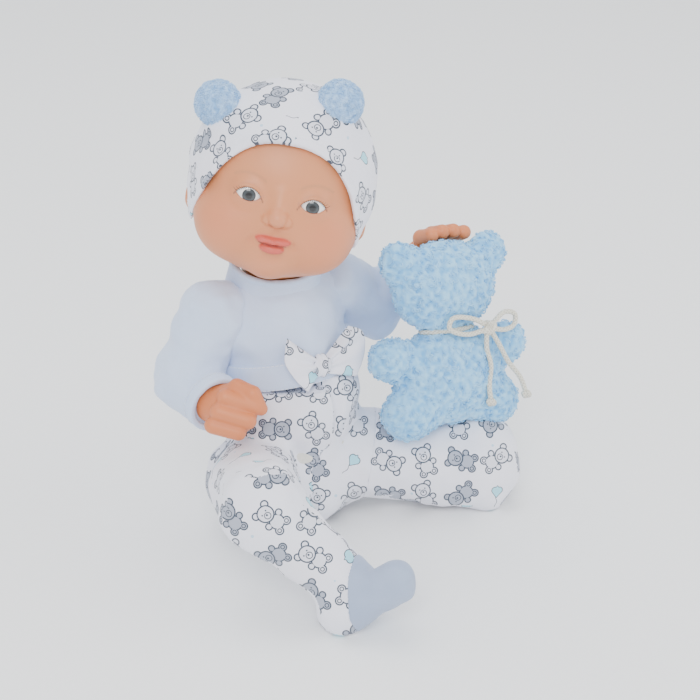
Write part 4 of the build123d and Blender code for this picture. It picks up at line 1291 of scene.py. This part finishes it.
class BABYDOLL_OT_top(DollOperator, bpy.types.Operator):
    """Builds the jersey bodice, its plain waistband, the mock-turtle collar and the bow at the waist"""
    bl_idname = "baby_doll.top"
    bl_label = "Bodice, waistband, collar and bow"

    def build(self, s):
        step, folds = s.cloth_step / MM, s.fold_depth / MM
        axis = [TORSO.out(0, 0, z) for z in (0, 60, 120)]
        bodice = cast_in(TORSO, "Bodice", lambda q: bodice_shape(q, folds),
                         (-58, -42, 56), (58, 42, 112), step)
        map_tube(bodice, axis, 36, seam=(0, 1, 0))
        dress(bodice, blue(s), "torso", ["bodice"])
        band = cast_in(TORSO, "Waistband", waistband_shape, (-54, -48, 44), (54, 48, 72), step)
        map_tube(band, axis, 38, seam=(0, 1, 0))
        dress(band, blue(s), "torso", ["waistband"])
        neck = Axes(NECK, (1, 0, 0), NECK_AXIS)

        def collar_shape(q):
            r = np.sqrt((q[..., 0] / 1.10) ** 2 + ((q[..., 1] + 1.5) / 1.0) ** 2)
            wall = np.abs(r - 24.2 + 0.16 * (q[..., 2] + 2)) - 1.15
            roll = length(np.stack([r - 23.2, q[..., 2] - 7.4], axis=-1)) - 1.7
            f = carve(wall, 8.0 - np.abs(q[..., 2] + 0.5), 1.0)
            return blend_in(f, roll, 1.0) - lattice_noise(q, (5, 5, 9), 14) * 0.25
        collar = cast_in(neck, "Collar", collar_shape, (-32, -32, -11), (32, 30, 11), 0.8)
        map_tube(collar, [neck.out(0, 0, z) for z in (-12, 0, 12)], 24, seam=(0, 1, 0))
        dress(collar, blue(s), "torso", ["collar", "neck_tie"])
        for name, height in (("Waistband top stitches", WAIST_TOP - 0.8),
                             ("Waistband low stitches", WAIST_LOW + 0.8)):
            sew(name, on_surface(TORSO, waistband_shape, height, (0, 0)), "torso", s, "#dfe8f6")
        self.bow()

    def bow(self):
        """The bow at the waist, sewn over the waistband's top edge."""
        knot = node_middle("waist_bow_knot") + TORSO.along(0, 2.0, 12.5)
        out = unit(TORSO.along(0.1, -1, 0.08))
        right = unit(CAMERA_RIGHT - out * np.dot(CAMERA_RIGHT, out))
        frame_of = Axes(knot, right, out)
        wings = (("Bow wing right", [(-9, -14.5), (-17, -8), (-24.5, 1.5), (-25, 9), (-23.5, 16.5)], 1),
                 ("Bow wing left", [(25, -7), (30, 4), (31, 14), (28, 20), (19, 22.5)], 2))
        for name, edge, seed in wings:
            edge = smooth_route([(x, y, 0) for x, y in edge], 8)
            piece = fan(name, frame_of, edge, seed)
            dress(piece, printed(), "torso", ["waist_bow_wings"])

        def wrap(q):
            f = egg(q, (0, 0.5, 3.0), (5.2, 6.6, 4.4))
            return f - 0.5 * np.sin(q[..., 0] * 1.7) - lattice_noise(q, (3, 5, 3), 15) * 0.4
        piece = cast_in(frame_of, "Bow knot of the waist", wrap, (-8, -9, -4), (8, 10, 10), 0.5)
        map_tube(piece, [frame_of.out(0, y, 3) for y in (-8, 0, 8)], 5)
        dress(piece, printed(), "torso", ["waist_bow_knot"])


def on_surface(axes, shape, height, centre, count=110):
    """A closed line of points where a shape meets one height in its own axes."""
    a = np.linspace(0, 2 * math.pi, count, endpoint=False)
    way = np.stack([np.cos(a), np.sin(a), np.zeros(count)], axis=1)
    low, high = np.full(count, 5.0), np.full(count, 70.0)
    for step in range(22):
        mid = 0.5 * (low + high)
        q = way * mid[:, None] + np.array([centre[0], centre[1], height])
        inside = shape(q.astype(np.float32)) < 0
        low, high = np.where(inside, mid, low), np.where(inside, high, mid)
    q = way * (low + 0.12)[:, None] + np.array([centre[0], centre[1], height])
    return q @ axes.turn.T + axes.origin


def fan(name, axes, edge, seed):
    """A double layer of cloth gathered at the knot and spread to an outer edge."""
    rows, columns = 26, len(edge)
    gathered = np.linspace(-1, 1, columns)
    turn = np.cross(edge[-1], edge[0])[2]
    points = {1: [], -1: []}
    for face in (1, -1):
        for i in range(rows):
            t = i / (rows - 1)
            spread = t ** 0.8
            for k in range(columns):
                end = edge[k]
                start = unit(np.array([end[0], end[1] * 0.35, 0])) * 2.5
                start[1] = gathered[k] * 4.2 * (1 if edge[-1][1] > edge[0][1] else -1)
                place = start + (end - start) * spread
                pleat = math.sin(k / (columns - 1) * math.pi * 5 + seed) * 1.3 * (1 - t) ** 0.7
                rim = min(1.0, 4 * (k / (columns - 1)) * (1 - k / (columns - 1)) * 3)
                puff = (0.5 + 3.0 * math.sin(math.pi * min(t * 1.05, 1)) ** 0.7) * rim * 0.8
                z = 2.6 + pleat + face * puff * 0.62 - 1.5 * t + 1.5 * t * t
                points[face].append((place[0], place[1], z))
    vertices = points[1] + points[-1]
    n = rows * columns
    faces = []
    for i in range(rows - 1):
        for k in range(columns - 1):
            a, b = i * columns + k, (i + 1) * columns + k
            faces.append((a, b, b + 1, a + 1))
            faces.append((n + a, n + a + 1, n + b + 1, n + b))
    border = ([k for k in range(columns)] + [i * columns + columns - 1 for i in range(1, rows)]
              + [(rows - 1) * columns + k for k in range(columns - 2, -1, -1)]
              + [i * columns for i in range(rows - 2, 0, -1)])
    for a, b in zip(border, border[1:] + border[:1]):
        faces.append((a, b, n + b, n + a))
    if turn < 0:
        faces = [f[::-1] for f in faces]
    local = np.array(vertices)
    piece = new_mesh(name, local @ axes.turn.T + axes.origin, faces)
    corners, _, _ = corner_data(piece)
    write_map(piece, local[corners][:, :2] + 40.0 * seed)
    return piece


class BABYDOLL_OT_sleeves(DollOperator, bpy.types.Operator):
    """Builds both jersey sleeves with their cuffs, and the two vinyl hands"""
    bl_idname = "baby_doll.sleeves"
    bl_label = "Sleeves and hands"

    def build(self, s):
        step, folds = s.cloth_step / MM, s.fold_depth / MM
        for side, hand_shape, box in (("right", fist_shape, ((-76, -46, 72), (-28, 40, 118))),
                                      ("left", open_hand_shape, ((54, -44, 94), (128, 44, 176)))):
            points = [np.array(q, float) for q in ARM[side]["points"]]
            low, high = np.min(points, axis=0)[:3] - 26, np.max(points, axis=0)[:3] + 26
            sleeve = cast("Sleeve " + side, lambda p, side=side: sleeve_shape(p, side, folds),
                          low, high, step)
            map_tube(sleeve, points[:3], 17, seam=(0, 0.5, -1))
            sleeve.data.materials.append(blue(s))
            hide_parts("sleeve_" + side)
            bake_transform(sleeve)
            way = unit(points[2] - points[1])
            cuff_axes = Axes(points[2] - 1.5 * way, np.cross(way, (0.3, 0.1, 1)), way)

            def cuff_shape(q):
                r = np.sqrt(q[..., 0] ** 2 + q[..., 1] ** 2)
                wall = np.abs(r - ARM[side]["radii"][2] - 1.6) - 1.7
                return carve(wall, 4.4 - np.abs(q[..., 2]), 1.4) - lattice_noise(q, (4, 4, 8), 33) * 0.3
            cuff = cast_in(cuff_axes, "Cuff " + side, cuff_shape, (-20, -20, -7), (20, 20, 7), 0.7)
            map_tube(cuff, [cuff_axes.out(0, 0, z) for z in (-8, 0, 8)], 15)
            dress(cuff, blue(s), side + "_arm", ["cuff_" + side])
            sew("Cuff stitches " + side, on_surface(cuff_axes, lambda q: length(q * (1, 1, 0))
                - ARM[side]["radii"][2] - 3.3, -1.8, (0, 0), 70), side + "_arm", s, "#8fa6cc")
            hand = cast("Hand " + side, hand_shape, box[0], box[1], s.fine_step / MM)
            skin_paint(hand)
            dress(hand, skin(), side + "_arm", ["arm_" + side])


class BABYDOLL_OT_romper(DollOperator, bpy.types.Operator):
    """Builds the printed romper, seat and two legs, with its plain jersey soles"""
    bl_idname = "baby_doll.romper"
    bl_label = "Romper"

    def build(self, s):
        step, folds = s.cloth_step / MM, s.fold_depth / MM

        def seat_shape(p):
            f = romper_shape(p, folds)
            return np.maximum(np.maximum(f, leg_side(p, "right") - 0.4), leg_side(p, "left") - 0.4)
        seat = cast("Romper seat", seat_shape, (-62, -62, -1), (62, 62, 100), step)
        map_charts(seat, FRONT_PANEL)
        dress(seat, printed(), "torso", ["romper_seat"])
        boxes = {"right": ((-96, -152, -1), (6, 8, 92)), "left": ((18, -84, -1), (148, 44, 64))}
        for side in ("right", "left"):
            at, out = sole_plane(side)

            def toe(p, at=at, out=out):
                beyond = (p - at.astype(np.float32)) @ out.astype(np.float32)
                return np.maximum(-beyond, length(p - at.astype(np.float32)) - 46)

            def leg_shape(p, side=side):
                f = np.maximum(romper_shape(p, folds), -leg_side(p, side))
                return np.maximum(f, -toe(p))

            def sole_shape(p):
                return np.maximum(romper_shape(p, folds) - 0.15, toe(p) - 0.3)
            leg = cast("Romper leg " + side, leg_shape, *boxes[side], step)
            points = [np.array(q, float) for q in LEG[side]["points"]]
            map_charts(leg, FRONT_PANEL)
            leg.data.materials.append(printed())
            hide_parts("romper_leg_" + side)
            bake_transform(leg)
            low, high = at - 30, at + 40
            low[2] = max(low[2], -1)
            sole = cast("Sole " + side, sole_shape, low, high, step * 0.8)
            map_tube(sole, points[2:], 14)
            dress(sole, store("Cotton jersey, grey blue", jersey, s.sole_colour, "#8b9bb8"), side + "_leg",
                  ["sole_" + side])


class BABYDOLL_OT_teddy(DollOperator, bpy.types.Operator):
    """Builds the sherpa teddy pillow with its curled pile and the cord tied around its neck"""
    bl_idname = "baby_doll.teddy"
    bl_label = "Teddy pillow and cord"

    def build(self, s):
        depth = s.pile_depth / MM
        pillow = cast_in(TEDDY, "Teddy pillow", lambda q: pillow_shape(q) - depth * pile_height(q),
                         (-60, -60, -24), (60, 68, 24), s.pile_step / MM)
        # These pile heights steer the painted shade: low places between the curls get the darker colour, the curl
        # tops the lighter.
        heights = pile_height(TEDDY.into(vertices_mm(pillow)).astype(np.float32))
        layer = pillow.data.attributes.new("pile", "FLOAT", "POINT")
        layer.data.foreach_set("value", np.clip(0.62 + 1.1 * heights, 0, 1).astype(np.float32))
        wool = store("Sherpa fleece, light blue", fleece, s.fleece_colour, s.fleece_painted_shade)
        dress(pillow, wool, "teddy", ["teddy_pillow"])
        curl = curl_piece("Curl", 0.95, 0.34, 6, 5)
        curls = grow("Teddy curls", pillow, *scatter_tree(), {
            "tuft": curl, "density": 105000.0, "seed": s.pile_seed, "material": wool})
        bpy.data.objects.remove(curl)
        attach(curls, "teddy")
        self.cord(s)

    def cord(self, s):
        """The cord round the neck, its knot, two loops and two knotted tails."""
        braid = store("Braided cotton cord, ivory", twisted_cord)
        radius = s.cord_thickness / MM / 2
        band = []
        for a in np.linspace(0, 2 * math.pi, 90, endpoint=False):
            way = np.array([math.cos(a), 0, math.sin(a)])
            low, high = 2.0, 45.0
            for step in range(22):
                mid = 0.5 * (low + high)
                inside = pillow_shape(np.array([way * mid + (0, 9, 0)], np.float32))[0] < 0
                low, high = (mid, high) if inside else (low, mid)
            band.append(TEDDY.out(*(way * (low + 0.9) + (0, 9, 0))))
        ring_tube = tube("Cord band", band + band[:2], radius)
        dress(ring_tube, braid, "teddy", ["teddy_cord_band"])
        knot_at = (*KNOT, BOW_DEPTH)

        def knot_shape(q):
            v = q - np.asarray(knot_at, np.float32)
            f = rod(v, (-3.2, -1.4, 0.2), (3.2, 1.4, 0.2), 2.0, 2.0)
            f = np.minimum(f, rod(v, (-1.6, 3.0, -0.4), (1.4, -3.2, 0.6), 1.9, 1.9) + 0.1)
            f = np.minimum(f, rod(v, (1.8, 2.6, 0.8), (-0.4, 2.9, 1.6), 1.7, 1.7))
            return np.minimum(f, rod(v, (-1.2, -2.6, 1.0), (2.4, -0.4, 2.0), 1.7, 1.7))
        centre = np.array(knot_at)
        knot = cast_in(TEDDY, "Cord knot", knot_shape, centre - 7, centre + 7, 0.4)
        map_tube(knot, [TEDDY.out(*(centre + (0, y, 0))) for y in (-6, 0, 6)], 4)
        dress(knot, braid, "teddy", ["bow_knot"])
        for name, (route, true_length) in BOW.items():
            lifted = [TEDDY.out(a, b, BOW_DEPTH) for a, b in route]
            path = nurbs_route(name + " route", lifted)
            piece = tube("Cord " + name.replace("_", " "), path, radius)
            dress(piece, braid, "teddy", [name])
            tail = "tail" in name
            if tail:
                end = path[-1]
                side = name.split("_")[-1]

                def end_knot(q):
                    v = q - end.astype(np.float32)
                    f = rod(v, (-1.3, 0.3, 0.6), (1.3, -0.2, -0.5), 2.0, 2.0)
                    f = np.minimum(f, rod(v, (0.2, -0.8, 1.0), (-0.3, 0.8, -1.0), 1.9, 1.9))
                    return f
                lump = cast("Tail knot " + side, end_knot, end - 5, end + 5, 0.35)
                map_tube(lump, [end + (0, 0, z) for z in (-4, 0, 4)], 3, seam=(0, 1, 0))
                dress(lump, braid, "teddy", ["tail_knot_" + side])


HARDWARE = {
    "stuffing": ("Polyester stuffing in white cotton", "#f1efea", 0.95, 0.0),
    "body_cloth": ("White cotton tape", "#eceaf0", 0.9, 0.0),
    "case_plastic": ("ABS plastic, ivory, fine texture", "#e9e6dc", 0.45, 0.0),
    "dark_plastic": ("ABS plastic, black", "#1d1e20", 0.5, 0.0),
    "circuit_laminate": ("Phenolic paper laminate", "#8a6a35", 0.55, 0.0),
    "steel": ("Zinc-plated steel", "#b9bcc0", 0.35, 1.0),
    "cell_jacket": ("Printed cell jacket, green", "#3c7a4f", 0.4, 0.0),
    "paper_cone": ("Treated paper cone, black", "#232323", 0.85, 0.0),
    "wire": ("PVC insulated wire, red", "#a32018", 0.5, 0.0),
    "ivory_cord": ("Cotton cord, ivory", "#efecdc", 0.85, 0.0),
    "blue_jersey": ("Cotton jersey under layers", "#bccfe9", 0.9, 0.0),
    "print_cloth": ("Printed cotton under layers", "#e8ecf6", 0.9, 0.0),
}


class BABYDOLL_OT_module(DollOperator, bpy.types.Operator):
    """Gives the sound module and the other parts under the clothes their materials"""
    bl_idname = "baby_doll.module"
    bl_label = "Sound module and inner parts"

    def build(self, s):
        slots = {name: entry["slot"] for entry in frame["record"]["materials"]
                 for name in entry.get("nodes", [])}
        for name, node in frame["nodes"].items():
            if node.hide_render:
                continue
            key = slots.get(name, "case_plastic")
            title, code, roughness, metallic = HARDWARE.get(key, HARDWARE["case_plastic"])
            material = store(title, moulded, code, roughness, metallic)
            node.data.materials.clear()
            node.data.materials.append(material)


class BABYDOLL_OT_stage(DollOperator, bpy.types.Operator):
    """Sets the pale floor, the soft studio light and the camera"""
    bl_idname = "baby_doll.stage"
    bl_label = "Stage"

    def build(self, s):
        floor = new_mesh("Floor", [(-4000, -4000, 0), (4000, -4000, 0), (4000, 4000, 0), (-4000, 4000, 0)],
                         [(0, 1, 2, 3)])
        material, tree, shader = new_material("Studio paper, white")
        coords = object_coords(tree)
        grain = add_node(tree, "ShaderNodeTexNoise", {"Vector": coords}, in_2=300.0, in_3=2.0).outputs[0]
        tree.links.new(mix_colour(tree, grain, linear("#f7f8f8"), linear("#fcfcfc")),
                       shader.inputs["Base Color"])
        shader.inputs["Roughness"].default_value = 0.9
        floor.data.materials.append(material)
        world = bpy.data.worlds.new("Studio")
        world.use_nodes = True
        world.node_tree.nodes["Background"].inputs[0].default_value = linear("#f4f7fb")
        world.node_tree.nodes["Background"].inputs[1].default_value = 1.35
        bpy.context.scene.world = world
        target = Vector((0.0276, -0.014, 0.107))
        for name, place, power, size in (("Key light", (-1.0, -1.3, 1.5), 26, 0.9),
                                         ("Fill light", (1.3, -1.0, 0.9), 9, 1.2),
                                         ("Top light", (0.1, 0.5, 1.7), 12, 1.2)):
            data = bpy.data.lights.new(name, "AREA")
            data.energy, data.size = power, size
            lamp = bpy.data.objects.new(name, data)
            lamp.location = place
            lamp.rotation_euler = (target - lamp.location).to_track_quat("-Z", "Y").to_euler()
            bpy.context.collection.objects.link(lamp)
        rise, turn = math.radians(25), (-0.545, -0.839)
        way = Vector((turn[0] * math.cos(rise), turn[1] * math.cos(rise), math.sin(rise)))
        data = bpy.data.cameras.new("Photo camera")
        data.lens, data.sensor_width = 90, 36
        camera = bpy.data.objects.new("Photo camera", data)
        camera.location = target + way.normalized() * 1.010
        camera.rotation_euler = (target - camera.location).to_track_quat("-Z", "Y").to_euler()
        bpy.context.collection.objects.link(camera)
        bpy.context.scene.camera = camera


class BABYDOLL_PT_panel(bpy.types.Panel):
    """The doll's sizes and colours, and a button for each of its pieces"""
    bl_idname = "BABYDOLL_PT_panel"
    bl_label = "Baby Doll"
    bl_space_type = "VIEW_3D"
    bl_region_type = "UI"
    bl_category = "Baby Doll"

    def draw(self, context):
        settings = context.scene.baby_doll
        for name in settings.__annotations__:
            self.layout.prop(settings, name)
        for operator in OPERATORS:
            self.layout.operator(operator.bl_idname)


OPERATORS = (BABYDOLL_OT_head, BABYDOLL_OT_cap, BABYDOLL_OT_top, BABYDOLL_OT_sleeves,
             BABYDOLL_OT_romper, BABYDOLL_OT_teddy, BABYDOLL_OT_module, BABYDOLL_OT_stage)


def register():
    for item in (BabyDollSettings, *OPERATORS, BABYDOLL_PT_panel):
        bpy.utils.register_class(item)
    bpy.types.Scene.baby_doll = bpy.props.PointerProperty(type=BabyDollSettings)


def unregister():
    del bpy.types.Scene.baby_doll
    for item in (BABYDOLL_PT_panel, *reversed(OPERATORS), BabyDollSettings):
        bpy.utils.unregister_class(item)


def main():
    register()
    bpy.ops.baby_doll.head()
    bpy.ops.baby_doll.cap()
    bpy.ops.baby_doll.top()
    bpy.ops.baby_doll.sleeves()
    bpy.ops.baby_doll.romper()
    bpy.ops.baby_doll.teddy()
    bpy.ops.baby_doll.module()
    bpy.ops.baby_doll.stage()
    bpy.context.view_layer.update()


if __name__ == "__main__":
    main()
